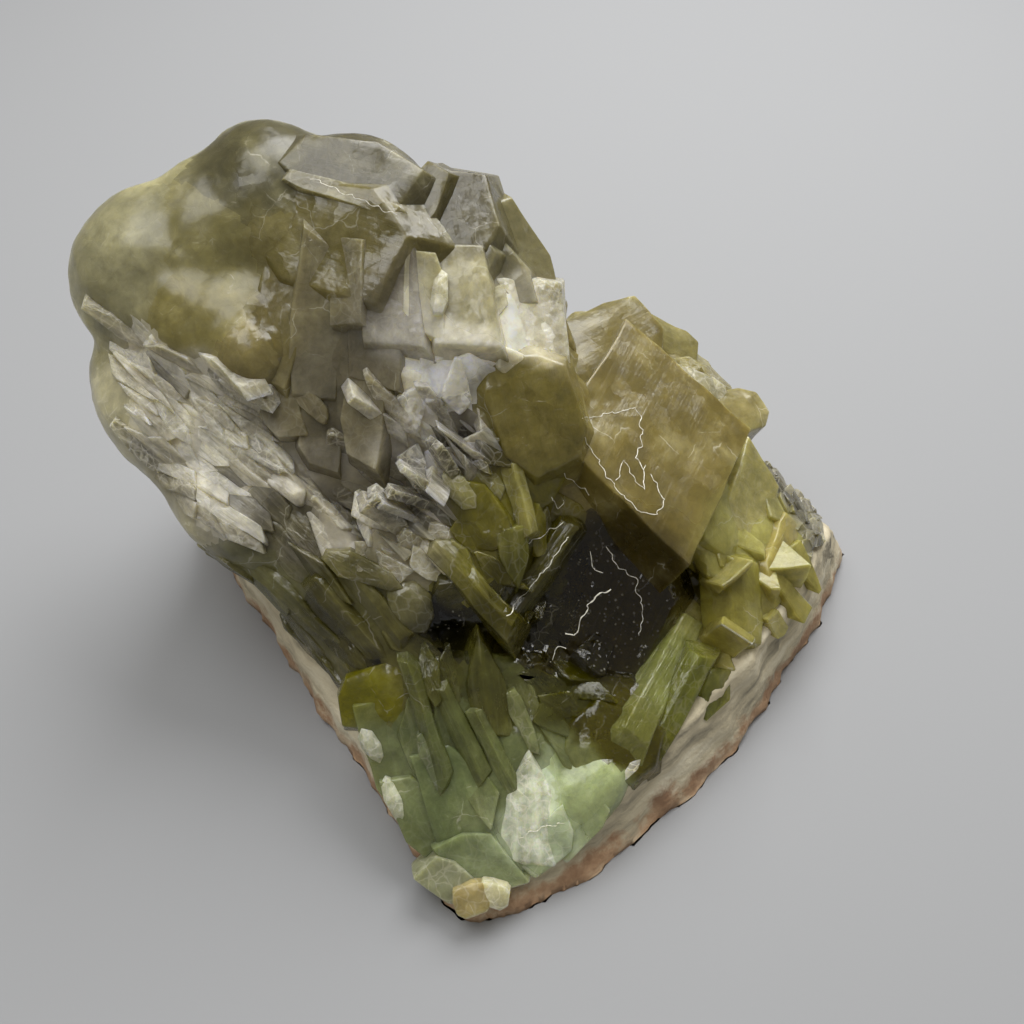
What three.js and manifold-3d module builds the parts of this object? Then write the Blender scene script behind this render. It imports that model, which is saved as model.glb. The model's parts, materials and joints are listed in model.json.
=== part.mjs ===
// A block of green calcite crystals grown together on a slab of their host rock.
// Millimetres, +Z up. The origin is the middle of the footprint on the resting surface.
// +X runs along the flat front-right wall of the slab, whose outward side is -Y.

import * as THREE from 'three';
import { ConvexGeometry } from 'three/addons/geometries/ConvexGeometry.js';
import * as BufferGeometryUtils from 'three/addons/utils/BufferGeometryUtils.js';
import Module from 'manifold-3d';

// ---------------------------------------------------------------- driving dimensions
const SLOPE_HEIGHT = 84; // height of the long front face straight above the origin
const CLEAVAGE_ANGLE = 78.1; // degrees at the corner of a calcite cleavage face
const CRYSTAL_DEPTH = 8; // how far a crystal reaches down into the massive calcite
const CRYSTAL_FLARE = 1.4; // and how much wider it is there
const FACET_FLARE = 1.6; // a facet slopes gently down into the calcite all round
const LYING_FLARE = 1.1; // crystals that lie level with each other are nearly upright
const RESTING_SHARE = 0.6; // the share of its height above the core that a crystal keeps
const CRUST_REACH = 0.7; // a crust crystal reaches this share of their spacing at most
const CRUST_OVERLAP = 1.05; // crust crystals run into their neighbours by this factor
const CRUST_UNEVEN = 1.6; // and stand higher or lower than them by up to this
const CRUST_TILT = 7; // degrees that a crust crystal's face tips
const CRUST_PROUD = 1; // how far it stands out of the core
const CRUST_STEEPEST = 0.6; // cosine of the steepest ground a plane's crust grows on
const SMALLEST_CRUST = 2.5; // a narrower crust crystal is left out
const GAP = 0.3; // clear space between the crystals and the rock
const CRYSTAL_FOOT = 17; // the calcite's lowest level, inside the rock's upper edge
const CORNER_FOOT = 5; // and at the thin front corner
const FOOT_AT_ORIGIN = 26; // the slant between them: its level if it went on to the origin
const CORNER_RUN = 6; // and the x + y over which it rises by one

// ---------------------------------------------------------------- working planes
// A plane looks towards a compass angle, counted from +X, and leans back by its pitch.
// A place on it is how far across it is, how far up, and how proud of it.
function workingPlane(centre, facing, pitch) {
  const angle = THREE.MathUtils.degToRad(facing);
  const lean = THREE.MathUtils.degToRad(pitch);
  const sky = new THREE.Vector3(0, 0, 1);
  const look = new THREE.Vector3(Math.cos(angle), Math.sin(angle), 0);
  const across = sky.clone().cross(look);
  const up = sky.clone().multiplyScalar(Math.sin(lean)).addScaledVector(look, -Math.cos(lean));
  const out = sky.clone().multiplyScalar(Math.cos(lean)).addScaledVector(look, Math.sin(lean));
  return new THREE.Matrix4().makeBasis(across, up, out).setPosition(...centre);
}

const SLOPE = workingPlane([0, 0, SLOPE_HEIGHT], 225, 42.1); // the long front face
const RIGHT_TOP = workingPlane([28, -20, 54], -77, 25); // the top of the lower right block
const RIGHT_SIDE = workingPlane([32, -50, 31], -68, 52); // and its front
const LEFT_WALL = workingPlane([-62, 16, 44], 205, 70);
const BACK_WALL = workingPlane([-4, 76, 48], 92, 74);
const BACK_RIGHT = workingPlane([46, 34, 48], 38, 58);

function on(plane, [across, up, proud]) {
  return new THREE.Vector3(across, up, proud).applyMatrix4(plane);
}

const axisOf = (place, number) => new THREE.Vector3().setFromMatrixColumn(place, number);

// ---------------------------------------------------------------- solids
const wasm = await Module();
wasm.setup();

function toSolid(geometry) {
  const bare = geometry.clone();
  bare.deleteAttribute('normal');
  bare.deleteAttribute('uv');
  const merged = BufferGeometryUtils.mergeVertices(bare, 1e-4);
  return new wasm.Manifold(new wasm.Mesh({
    numProp: 3,
    vertProperties: new Float32Array(merged.attributes.position.array),
    triVerts: new Uint32Array(merged.index.array),
  }));
}

function toGeometry(solid) {
  const mesh = solid.getMesh();
  const geometry = new THREE.BufferGeometry();
  geometry.setAttribute('position', new THREE.BufferAttribute(mesh.vertProperties.slice(), 3));
  geometry.setIndex(new THREE.BufferAttribute(mesh.triVerts.slice(), 1));
  geometry.computeVertexNormals();
  return geometry;
}

// Steady unevenness: the same small shifts, from -0.5 to 0.5, on every run.
let shaken = 7;
function uneven() {
  shaken = (shaken * 16807) % 2147483647;
  return shaken / 2147483647 - 0.5;
}

// ---------------------------------------------------------------- massive calcite
// The solid core of the block: convex bodies, each with a front on a working plane
// and a foot in plain x, y, z.
const massive = [
  // the tall head
  [SLOPE,
    [[-84, 14, -16], [-84, 4, -14], [-78, 24, -18], [-66, 33, -18], [-54, 40, -18],
      [-40, 41, -15], [-24, 37, -12], [-10, 33, -11], [0, 24, -12], [9, 16, -16], [13, 3, -14],
      [13, -12, -9], [0, -6, -3], [-18, 12, -1], [-30, 20, -2], [-45, 12, -3], [-60, 8, -6],
      [-50, -16, -5], [-62, -10, -6], [-76, -2, -10], [-36, -24, -6], [-14, -12, -3]],
    [[-48, 74, 66], [-32, 77, 78], [-8, 70, 88], [16, 54, 72], [28, 34, 70], [22, 10, 66],
      [-52, 54, 24], [-47, 66, 20], [-20, 71, 19], [20, 66, 19], [40, 48, 19], [44, 20, 19],
      [-50, 20, 20], [-20, -10, 20], [20, -20, 20]]],
  // the core behind the hollow
  [SLOPE,
    [[0, 0, -12], [13, -6, -13], [11, -26, -16], [2, -40, -16], [-10, -40, -10]],
    [[8, -26, 50], [0, -30, 36], [40, -30, 36], [40, 20, 40], [20, 24, 60], [20, -50, 20],
      [-10, -50, 20]]],
  // the left wall
  [SLOPE,
    [[-80, -2, -10], [-83, -10, -13], [-80, -20, -18], [-73, -31, -18], [-62, -40, -14],
      [-50, -46, -9], [-48, -24, -4], [-62, -12, -5], [-34, -40, -4], [-30, -50, -5]],
    [[-53, 46, 19], [-53, 10, 19], [-55, -10, 19], [-30, -10, 19], [-30, 40, 19]]],
  [SLOPE,
    [[-60, -44, -14], [-54, -54, -16], [-44, -65, -13], [-36, -73, -10], [-20, -66, -4],
      [-20, -48, -4], [-36, -44, -4]],
    [[-57, -10, 18], [-60, -30, 14], [-40, -30, 18], [-30, 0, 20], [-53, 20, 19]]],
  // the middle, left of the hollow
  [SLOPE,
    [[-30, -40, -4], [-12, -34, -4], [2, -10, -5], [12, -14, -9], [11, -34, -10], [4, -44, -6],
      [-2, -60, -5], [-10, -58, -5], [-24, -62, -5], [-2, -30, -4]],
    [[-30, -20, 18], [0, -20, 18], [10, -10, 30]]],
  // the thin front corner
  [SLOPE,
    [[-34, -74, -8], [-30, -90, -6], [-23, -105, -4], [-15, -114, -3], [-8, -119, -1],
      [0, -118, -1], [11, -111, -3], [22, -101, -4], [31, -91, -8], [20, -84, -7],
      [8, -82, -6], [-1, -68, -7], [-20, -66, -4]],
    [[-60, -48, 10], [-47, -63, 13], [-16, -66, 20], [-2, -66, 21], [-10, -46, 20],
      [-54, -20, 18]]],
  // the floor of the hollow, and the rim in front of it
  [SLOPE,
    [[4, -52, -17], [20, -36, -26], [40, -42, -34], [44, -58, -36], [28, -78, -25],
      [10, -84, -12], [0, -66, -13]],
    [[0, -60, 19], [20, -58, 19], [40, -40, 20], [10, -20, 20], [-20, -40, 20]]],
  [SLOPE,
    [[25, -86, -9], [30, -90, -10], [44, -62, -33], [49, -70, -35], [36, -78, -20]],
    [[-16, -66, 20], [16, -66, 21], [12, -56, 20], [-14, -56, 20]]],
  // the lower right block and its foot
  [RIGHT_TOP,
    [[-20, -22, -3], [-28, 8, -3], [-16, 28, -4], [16, 30, -5], [32, 12, -6], [32, -8, -8],
      [12, -18, -5]],
    [[56, -42, 20], [60, 10, 19], [44, 30, 19], [0, 20, 20], [10, -36, 24], [34, -52, 20]]],
  [RIGHT_SIDE,
    [[-16, 6, -4], [-8, 16, -4], [12, 18, -5], [26, 6, -4], [30, -12, -3], [-18, -12, -3]],
    [[63, -53, 17], [58, -42, 20], [52, -60, 20], [30, -64, 21], [16, -66, 21],
      [30, -20, 20]]],
].map(([plane, front, foot]) => new ConvexGeometry([
  ...front.map((corner) => on(plane, corner)),
  ...foot.map((corner) => new THREE.Vector3(...corner)),
]));

// ---------------------------------------------------------------- dissolved lobes
// Smooth, rounded calcite on the left of the head, down the outer wall and at the corner:
// each lobe's middle, its length, width and thickness, and how it is turned. The lobes of
// a chain run into one another.
const LOBE_DETAIL = 1;
const lobeChains = [
  [ // the head, from its far left to its cap
    [[-75, 14, -15], [40, 38, 28], 30],
    [[-62, 19, -17], [50, 38, 32], 60],
    [[-50, 26, -17], [44, 38, 34], 96],
    [[-33, 29, -17], [42, 30, 32], -12],
  ],
  [ // the fold below it
    [[-62, 4, -12], [44, 30, 24], -30],
    [[-54, -4, -7], [22, 16, 18], -60],
  ],
  [ // the outer wall
    [[-75, -17, -22], [46, 28, 34], -56],
    [[-61, -37, -20], [42, 22, 30], -42],
  ],
  [ // the front corner
    [[17, -96, -9], [26, 18, 15], 36],
    [[12, -98, -10], [20, 16, 14], 40],
  ],
];

function lobePoints([middle, size, turn]) {
  const { position } = new THREE.IcosahedronGeometry(0.5, LOBE_DETAIL)
    .scale(...size)
    .rotateZ(THREE.MathUtils.degToRad(turn))
    .translate(...middle)
    .applyMatrix4(SLOPE)
    .attributes;
  return Array.from({ length: position.count }, (_, number) => (
    new THREE.Vector3().fromBufferAttribute(position, number)));
}

const lobes = lobeChains.flatMap((chain) => chain.slice(1).map((lobe, number) => (
  new ConvexGeometry([...lobePoints(chain[number]), ...lobePoints(lobe)]))));

// ---------------------------------------------------------------- resting on the calcite
const FROM_ABOVE = 60; // a place on the calcite is looked for from this far outside it
const massiveMeshes = massive.map((geometry) => new THREE.Mesh(geometry));
const lobeMeshes = lobes.map((geometry) => new THREE.Mesh(geometry));

function groundBelow(plane, across, up) {
  const out = axisOf(plane, 2);
  const ray = new THREE.Raycaster(on(plane, [across, up, FROM_ABOVE]), out.clone().negate());
  return ray.intersectObjects([...massiveMeshes, ...lobeMeshes])[0];
}

// Axes at a spot: z along out, and x as near to grain as that lets it be.
function frameAt(spot, out, grain) {
  const along = grain.clone().addScaledVector(out, -grain.dot(out)).normalize();
  return new THREE.Matrix4().makeBasis(along, out.clone().cross(along), out).setPosition(spot);
}

function rest(plane, across, up, above) {
  const ground = groundBelow(plane, across, up);
  const lean = ground.face.normal.clone().add(axisOf(plane, 2)).normalize();
  return frameAt(ground.point.clone().addScaledVector(lean, above), lean, axisOf(plane, 0));
}

// Calcite stops where the rock begins, which is lower at the thin front corner.
function rockLevel({ x, y }) {
  const slant = FOOT_AT_ORIGIN + (x + y) / CORNER_RUN;
  return THREE.MathUtils.clamp(slant, CORNER_FOOT, CRYSTAL_FOOT);
}

function crystalAt(place, corners) {
  const spot = new THREE.Vector3().setFromMatrixPosition(place);
  const points = corners.map((corner) => corner.applyMatrix4(place));
  points.forEach((point) => { point.z = Math.max(point.z, rockLevel(spot)); });
  return toSolid(new ConvexGeometry(points));
}

// ---------------------------------------------------------------- the crust
// Crystals fitted against each other over the core. Each fills the ground nearer to its
// middle than to any other, and its face tips its own way.
function trim(outline, offset) {
  const limit = offset.lengthSq() / 2;
  return outline.flatMap((start, number) => {
    const end = outline[(number + 1) % outline.length];
    const inside = start.dot(offset) - limit;
    const beyond = end.dot(offset) - limit;
    const kept = inside <= 0 ? [start] : [];
    if (inside * beyond < 0) {
      kept.push(start.clone().lerp(end, inside / (inside - beyond)));
    }
    return kept;
  });
}

function crust(plane, [left, right], [bottom, top], size, long) {
  const middles = [];
  for (let up = bottom; up <= top; up += size * long) {
    for (let across = left; across <= right; across += size) {
      middles.push(new THREE.Vector2(across + uneven() * size, up + uneven() * size * long));
    }
  }
  return middles.flatMap((middle) => {
    const ground = groundBelow(plane, middle.x, middle.y);
    if (!ground || lobeMeshes.includes(ground.object)) {
      return [];
    }
    const tooSteep = ground.face.normal.dot(axisOf(plane, 2)) < CRUST_STEEPEST;
    const tooLow = ground.point.z < rockLevel(ground.point) + SMALLEST_CRUST;
    if (tooSteep || tooLow) {
      return [];
    }
    let outline = [[-1, -long], [1, -long], [1, long], [-1, long]]
      .map(([x, y]) => new THREE.Vector2(x, y).multiplyScalar(CRUST_REACH * size));
    middles.forEach((other) => {
      const offset = other.clone().sub(middle);
      if (offset.length() > 0) {
        outline = trim(outline, offset);
      }
    });
    if (outline.length < 3 || outline.every((corner) => corner.length() < SMALLEST_CRUST)) {
      return [];
    }
    const tipX = Math.tan(THREE.MathUtils.degToRad(CRUST_TILT)) * 2 * uneven();
    const tipY = Math.tan(THREE.MathUtils.degToRad(CRUST_TILT)) * 2 * uneven();
    const height = CRUST_PROUD + uneven() * CRUST_UNEVEN;
    return [crystalAt(rest(plane, middle.x, middle.y, 0), outline.flatMap(({ x, y }) => [
      new THREE.Vector3(x * CRUST_OVERLAP, y * CRUST_OVERLAP, height + tipX * x + tipY * y),
      new THREE.Vector3(x, y, -CRYSTAL_DEPTH),
    ]))];
  });
}

const crustCrystals = [
  ...crust(SLOPE, [-52, 12], [-60, -12], 11, 1.4),
  ...crust(SLOPE, [-34, 34], [-96, -62], 10, 1.4),
  ...crust(SLOPE, [8, 44], [-84, -42], 15, 1.2),
  ...crust(RIGHT_TOP, [-26, 32], [-20, 30], 15, 1.1),
  ...crust(RIGHT_SIDE, [-22, 32], [-16, 18], 11, 1.1),
  ...crust(LEFT_WALL, [-40, 48], [-26, 6], 14, 1.1),
  ...crust(BACK_WALL, [-50, 44], [-30, 40], 19, 1.1),
  ...crust(BACK_RIGHT, [-44, 44], [-34, 40], 19, 1.1),
];

// ---------------------------------------------------------------- the main crystals
// Outer faces of each habit: along the length, across the width, and raised,
// each as a share of the crystal's size.
const HABITS = {
  rhomb: [[-0.5, -0.5, 0], [0.5, -0.5, 0], [0.5, 0.5, 0], [-0.5, 0.5, 0]],
  chipped: [[-0.5, -0.5, 0], [0.3, -0.5, 0], [0.5, -0.25, 0], [0.5, 0.5, 0], [-0.3, 0.5, 0],
    [-0.5, 0.2, 0]],
  facet: [[-0.5, -0.25, 0], [-0.25, -0.5, 0], [0.4, -0.48, 0], [0.5, 0.2, 0], [0.2, 0.5, 0],
    [-0.42, 0.38, 0]],
  block: [[-0.5, -0.3, 0], [-0.32, -0.5, 0], [0.35, -0.5, 0], [0.5, -0.2, 0], [0.5, 0.35, 0],
    [0.25, 0.5, 0], [-0.35, 0.5, 0], [-0.5, 0.15, 0]],
  blade: [[-0.5, -0.2, 0], [-0.5, 0.2, 0], [-0.25, 0.5, 0], [0.25, 0.45, 0], [0.5, 0.1, 0],
    [0.42, -0.3, 0], [-0.25, -0.5, 0], [-0.3, 0, 0.1], [0.3, 0, 0.12]],
  prism: [[-0.5, -0.4, 0], [-0.44, 0.4, 0], [0.42, 0.5, 0], [0.5, -0.3, 0], [-0.46, 0.1, 0.22],
    [0.44, 0.14, 0.22]],
  tooth: [[-0.5, -0.5, 0], [-0.5, 0.5, 0], [0.05, 0.4, 0], [0.5, 0, 0], [0.05, -0.4, 0],
    [-0.45, 0, 0.16], [0.15, 0, 0.16]],
};
const SKEWED = ['rhomb', 'chipped'];

// One crystal: the axes at the middle of its face, its length and width, how it is turned,
// tipped up at its end and rolled, its habit, how much it widens downwards, and its depth.
function crystal(place, long, wide, turn, rise, roll, habit, flare, deep = CRYSTAL_DEPTH) {
  const skew = SKEWED.includes(habit) ? 1 / Math.tan(THREE.MathUtils.degToRad(CLEAVAGE_ANGLE)) : 0;
  const pose = place.clone()
    .multiply(new THREE.Matrix4().makeRotationZ(THREE.MathUtils.degToRad(turn)))
    .multiply(new THREE.Matrix4().makeRotationY(THREE.MathUtils.degToRad(-rise)))
    .multiply(new THREE.Matrix4().makeRotationX(THREE.MathUtils.degToRad(roll)));
  return crystalAt(pose, HABITS[habit].flatMap(([x, y, raised]) => {
    const along = x * long + skew * y * wide;
    const aside = y * wide;
    return [
      new THREE.Vector3(along, aside, raised * wide),
      new THREE.Vector3(along * flare, aside * flare, -deep),
    ];
  }));
}

// A crystal that rests on the core: its place across and up a plane, its height above the
// core, its length, width, turn, rise and roll, and its habit.
function resting(plane, across, up, above, long, wide, turn, rise, roll, habit) {
  const flare = habit === 'facet' ? FACET_FLARE : CRYSTAL_FLARE;
  return crystal(rest(plane, across, up, RESTING_SHARE * above), long, wide, turn, rise, roll,
    habit, flare);
}

// A crystal that lies level with a plane, proud of it.
function lying(plane, across, up, proud, long, wide, turn, habit, deep) {
  return crystal(plane.clone().setPosition(on(plane, [across, up, proud])), long, wide, turn,
    0, 0, habit, LYING_FLARE, deep);
}

const headCrystals = [
  resting(SLOPE, -34, 19, 3, 32, 22, -22, 4, 8, 'facet'), // ridge plate
  resting(SLOPE, -31, 34, 0.2, 28, 13, -12, 0, -8, 'facet'), // cloudy cap
  resting(SLOPE, -19, 30, 0.1, 12, 9, -30, 0, -6, 'facet'),
  resting(SLOPE, -9, 26, 3, 20, 14, 100, -8, -8, 'facet'), // nose, its flank and its foot
  resting(SLOPE, -17, 28, 2.5, 15, 7, 72, 0, -24, 'facet'),
  resting(SLOPE, -9, 16, 1.5, 16, 11, -10, 10, 0, 'facet'),
  resting(SLOPE, 4, 19, 1, 24, 11, -58, -2, -6, 'facet'), // right crest and its lip
  resting(SLOPE, 0, 14, 1, 18, 8, -56, 0, 14, 'facet'),
  resting(SLOPE, 6, 3, 1.5, 17, 15, 98, 0, 0, 'rhomb'),
  resting(SLOPE, -24, 9, 3, 23, 12, 96, -3, -6, 'rhomb'), // clear prism
  resting(SLOPE, -32, 10, 2.5, 18, 7, 90, 0, -22, 'rhomb'),
  resting(SLOPE, -27, -3, 1.5, 17, 11, 90, 4, -8, 'rhomb'),
  resting(SLOPE, -9, 7, 2.5, 25, 13, 100, -2, -6, 'rhomb'), // pale block and lobe
  resting(SLOPE, -16, 7, 4, 17, 8, 90, 0, 8, 'chipped'),
  resting(SLOPE, -46, 4, 0.4, 30, 11, 76, 0, -8, 'chipped'), // tall brown facets
  resting(SLOPE, -38, 2, 1.5, 30, 11, 80, 0, 10, 'chipped'),
  resting(SLOPE, -29, -14, 1.5, 24, 9, 82, 0, -8, 'chipped'),
  resting(SLOPE, -38, -18, 1, 22, 9, 84, 0, 8, 'chipped'),
  resting(SLOPE, -47, -14, 0.6, 16, 9, -74, 4, 0, 'chipped'), // low facet left of them
];

const leftCrystals = [
  resting(SLOPE, -29, -50, 1.5, 17, 6, -24, 0, 0, 'blade'), // olive lozenges
  resting(SLOPE, -20, -57, 2, 13, 9, -62, 0, 0, 'block'),
  resting(SLOPE, -27, -57, 1.5, 21, 5, -52, 0, 8, 'prism'),
  resting(SLOPE, -32, -61, 1, 24, 7, -50, 0, -8, 'prism'),
  resting(SLOPE, -46, -56, 0.5, 30, 7, -42, 0, -10, 'prism'),
];

const middleCrystals = [
  resting(SLOPE, 6, -17, 5, 25, 18, -76, 3, 4, 'block'), // olive block and its foot
  resting(SLOPE, 7, -31, 1, 13, 9, -28, -6, 0, 'block'),
  resting(SLOPE, 3, -36, 3, 17, 6, -78, 0, 4, 'prism'), // clear blades
  resting(SLOPE, -5, -38, 2, 16, 9, -58, 0, 6, 'block'),
  resting(SLOPE, -9, -33, 3, 9, 5, -60, 0, 0, 'blade'),
  resting(SLOPE, 12, -37, 1.5, 13, 6, -30, -8, 0, 'block'),
  resting(SLOPE, -6, -53, 4.5, 24, 7, -48, 0, -14, 'prism'), // the V
  resting(SLOPE, 2, -47, 2, 13, 7, -84, 0, 0, 'tooth'),
  resting(SLOPE, 8, -51, 4.5, 26, 8, 52, -4, 10, 'prism'),
  resting(SLOPE, -9, -49, 2.5, 12, 6, -58, 0, 0, 'blade'),
  resting(SLOPE, 22, -60, 0.5, 34, 25, 62, 0, 0, 'chipped'), // floor and rim of the hollow
  resting(SLOPE, 6, -66, 0.5, 24, 6, 66, 0, -8, 'block'),
];

const cornerCrystals = [
  resting(SLOPE, -4, -74, 2, 22, 9, 98, 0, 0, 'tooth'),
  resting(SLOPE, -27, -77, 1.5, 15, 12, 14, -4, 0, 'block'),
  resting(SLOPE, -16, -82, 2, 28, 5, -74, 0, 0, 'prism'), // three mint prisms
  resting(SLOPE, -9, -84, 1.5, 24, 6, -66, 0, 0, 'prism'),
  resting(SLOPE, -2, -88, 1.5, 20, 5, -64, 0, 0, 'prism'),
  resting(SLOPE, 24, -87, 1.5, 20, 14, -18, -4, 0, 'block'),
  resting(SLOPE, 34, -75, 2.5, 34, 11, 58, -4, -10, 'prism'), // knife-edged crystal
  resting(SLOPE, 38, -80, 0.5, 26, 8, 56, 0, -10, 'prism'),
  lying(SLOPE, -24, -89, -4, 22, 10, -76, 'chipped'), // the broad, flat corner
  lying(SLOPE, -18, -102, -2.6, 17, 9, -66, 'chipped'),
  lying(SLOPE, -10, -100, -1.6, 26, 13, -74, 'chipped'),
  lying(SLOPE, -5, -111, 0.2, 15, 12, -50, 'chipped'),
  lying(SLOPE, 5, -99, -2.2, 26, 14, 88, 'tooth'),
  lying(SLOPE, 9, -107, -1, 14, 9, 40, 'chipped'),
  lying(SLOPE, 16, -104, -2.4, 15, 7, 42, 'chipped'),
  lying(SLOPE, -11, -114, 1.2, 12, 8, -40, 'chipped'),
  lying(SLOPE, -7, -117, 3.4, 8, 7, 20, 'block'), // chips on its tip
  lying(SLOPE, -2, -116, 3.2, 7, 5, -20, 'block'),
];

const rightCrystals = [
  lying(RIGHT_TOP, -6, -3, 3.4, 42, 38, 8, 'rhomb', 22), // the large rhomb
  lying(RIGHT_TOP, 6, 19, 1, 38, 20, -16, 'block', 18), // its shoulder and corner
  lying(RIGHT_TOP, -17, 21, 1, 10, 10, 20, 'block', 14),
  lying(RIGHT_TOP, 25, -17, -6, 18, 12, -30, 'block', 12), // pale lobe on the far right
  resting(RIGHT_TOP, 23, -5, 1.5, 16, 6, -60, -4, 0, 'block'),
  resting(RIGHT_TOP, 27, 8, 1, 20, 12, -64, -4, 4, 'block'),
  resting(RIGHT_SIDE, -2, 10, 2, 18, 12, 30, 0, 0, 'block'), // yellow blocks below it
  resting(RIGHT_SIDE, 10, 5, 2, 22, 13, 4, 3, 0, 'rhomb'),
  resting(RIGHT_SIDE, 4, -8, 1.5, 18, 8, 4, 0, 0, 'block'),
  resting(RIGHT_SIDE, -14, -5, 1.5, 20, 10, 40, 0, 0, 'block'),
  resting(RIGHT_SIDE, 27, -6, 1, 10, 8, 20, 0, 0, 'block'),
];

// ---------------------------------------------------------------- the host rock
// A slab about 2 cm thick, thinner at the front corner, flat underneath.
const ROCK_FOOTPRINT = [
  [-71, -57], [-66, -62], [-45, -71.6], [-15, -74.6], [13, -74], [50, -66.5], [71, -60],
  [69, -42], [70, -10], [70, 30], [56, 60], [20, 76], [-20, 80], [-48, 72], [-52, 46], [-51, 2],
];
const ROCK_TOP = [
  [-62, -50, 5], [-47, -64, 10], [-16, -67, 19], [12, -67, 20], [48, -61, 20], [64, -57, 15],
  [57, -45, 18], [63, -20, 19], [64, 28, 18], [52, 54, 18], [18, 70, 18], [-18, 74, 18],
  [-45, 67, 19], [-50, 44, 20], [-49, 2, 20],
];

function rockBlock(grown) {
  const outward = ([x, y, z], rise) => {
    const reach = Math.hypot(x, y);
    return new THREE.Vector3(x + grown * x / reach, y + grown * y / reach, z + rise);
  };
  const lower = ROCK_FOOTPRINT.map(([x, y]) => outward([x, y, 0], -grown));
  const upper = ROCK_TOP.map((corner) => outward(corner, grown));
  return toSolid(new ConvexGeometry([...lower, ...upper]));
}

// ---------------------------------------------------------------- assembly
// The calcite grew as one body. Chips that the rock would cut off from it are left out.
const grown = [
  ...massive.map(toSolid),
  ...lobes.map(toSolid),
  ...crustCrystals,
  ...headCrystals,
  ...leftCrystals,
  ...middleCrystals,
  ...cornerCrystals,
  ...rightCrystals,
].reduce((mass, body) => mass.add(body)).subtract(rockBlock(GAP));
const [crystalSolid] = grown.decompose().sort((one, other) => other.volume() - one.volume());

const calcite = new THREE.MeshStandardMaterial({ color: 0x8f9467, roughness: 0.25, metalness: 0 });
const hostRock = new THREE.MeshStandardMaterial({ color: 0x8d857e, roughness: 0.85, metalness: 0 });

const crystalMass = new THREE.Mesh(toGeometry(crystalSolid), calcite);
crystalMass.name = 'crystal_mass';

const rockSlab = new THREE.Mesh(toGeometry(rockBlock(0)), hostRock);
rockSlab.name = 'rock_slab';

const crystalBlock = new THREE.Group();
crystalBlock.add(rockSlab, crystalMass);

export default crystalBlock;
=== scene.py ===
import json
import math
import random
from collections import namedtuple

import bmesh
import bpy
import numpy
from mathutils import Matrix, Vector
from mathutils.bvhtree import BVHTree
from mathutils.kdtree import KDTree
from mathutils.noise import noise

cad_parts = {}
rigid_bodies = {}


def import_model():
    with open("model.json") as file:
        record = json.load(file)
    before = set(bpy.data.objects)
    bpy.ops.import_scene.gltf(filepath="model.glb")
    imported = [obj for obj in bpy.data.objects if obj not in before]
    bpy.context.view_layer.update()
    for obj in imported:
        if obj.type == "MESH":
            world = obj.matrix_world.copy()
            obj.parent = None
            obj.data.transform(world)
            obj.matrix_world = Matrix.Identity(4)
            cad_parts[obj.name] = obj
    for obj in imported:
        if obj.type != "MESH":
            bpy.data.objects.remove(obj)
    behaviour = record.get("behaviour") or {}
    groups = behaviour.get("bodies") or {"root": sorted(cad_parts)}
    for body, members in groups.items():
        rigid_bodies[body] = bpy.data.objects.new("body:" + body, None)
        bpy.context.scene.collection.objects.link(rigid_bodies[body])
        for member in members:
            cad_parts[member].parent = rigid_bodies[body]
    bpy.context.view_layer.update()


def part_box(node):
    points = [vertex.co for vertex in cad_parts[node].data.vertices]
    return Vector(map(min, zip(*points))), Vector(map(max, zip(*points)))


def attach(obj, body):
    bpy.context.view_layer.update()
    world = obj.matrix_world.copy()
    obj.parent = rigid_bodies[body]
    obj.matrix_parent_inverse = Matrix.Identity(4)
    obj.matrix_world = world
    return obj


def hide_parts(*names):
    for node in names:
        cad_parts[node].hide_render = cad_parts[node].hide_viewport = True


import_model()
random.seed(7)
MM = 0.001

# ------------------------------------------------------------------ the massive calcite
# The core of the block is massive green calcite: a tall head with dissolved, waxy lobes on
# its left, a long broken slope down to a thin corner, a hollow, and a lower block behind it.
calcite_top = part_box("crystal_mass")[1].z

grown = bpy.data.collections.new("grown crystals")
bpy.context.scene.collection.children.link(grown)


def working_plane(centre, facing, pitch):
    """Axes across, up and out of a plane that looks towards facing and leans by pitch."""
    look = Vector((math.cos(math.radians(facing)), math.sin(math.radians(facing)), 0))
    sky = Vector((0, 0, 1))
    slant = math.radians(pitch)
    up = sky * math.sin(slant) - look * math.cos(slant)
    out = sky * math.cos(slant) + look * math.sin(slant)
    axes = Matrix((sky.cross(look), up, out)).transposed().to_4x4()
    return Matrix.Translation(centre) @ axes


# The long front slope, the top and front of the right block, the left wall and the back.
SLOPE_HEIGHT = 0.77 * calcite_top
SLOPE = working_plane(Vector((0, 0, SLOPE_HEIGHT)), 225, 42.1)
RIGHT_TOP = working_plane(Vector((28, -20, 54)) * MM, -77, 25)
RIGHT_SIDE = working_plane(Vector((32, -50, 31)) * MM, -68, 52)
LEFT_WALL = working_plane(Vector((-62, 16, 44)) * MM, 205, 70)
BACK_WALL = working_plane(Vector((-4, 76, 48)) * MM, 92, 74)
BACK_RIGHT = working_plane(Vector((46, 34, 48)) * MM, 38, 58)


def on(plane, across, up, proud):
    return plane @ Matrix.Translation(Vector((across, up, proud)) * MM)


def only(thing):
    bpy.ops.object.select_all(action="DESELECT")
    thing.select_set(True)
    bpy.context.view_layer.objects.active = thing


def hull(name, corners):
    """A convex body around its corners."""
    mesh = bpy.data.meshes.new(name)
    mesh.from_pydata(corners, [], [])
    body = bpy.data.objects.new(name, mesh)
    bpy.context.scene.collection.objects.link(body)
    only(body)
    bpy.ops.object.mode_set(mode="EDIT")
    bpy.ops.mesh.select_all(action="SELECT")
    bpy.ops.mesh.convex_hull()
    bpy.ops.object.mode_set(mode="OBJECT")
    return body


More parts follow.
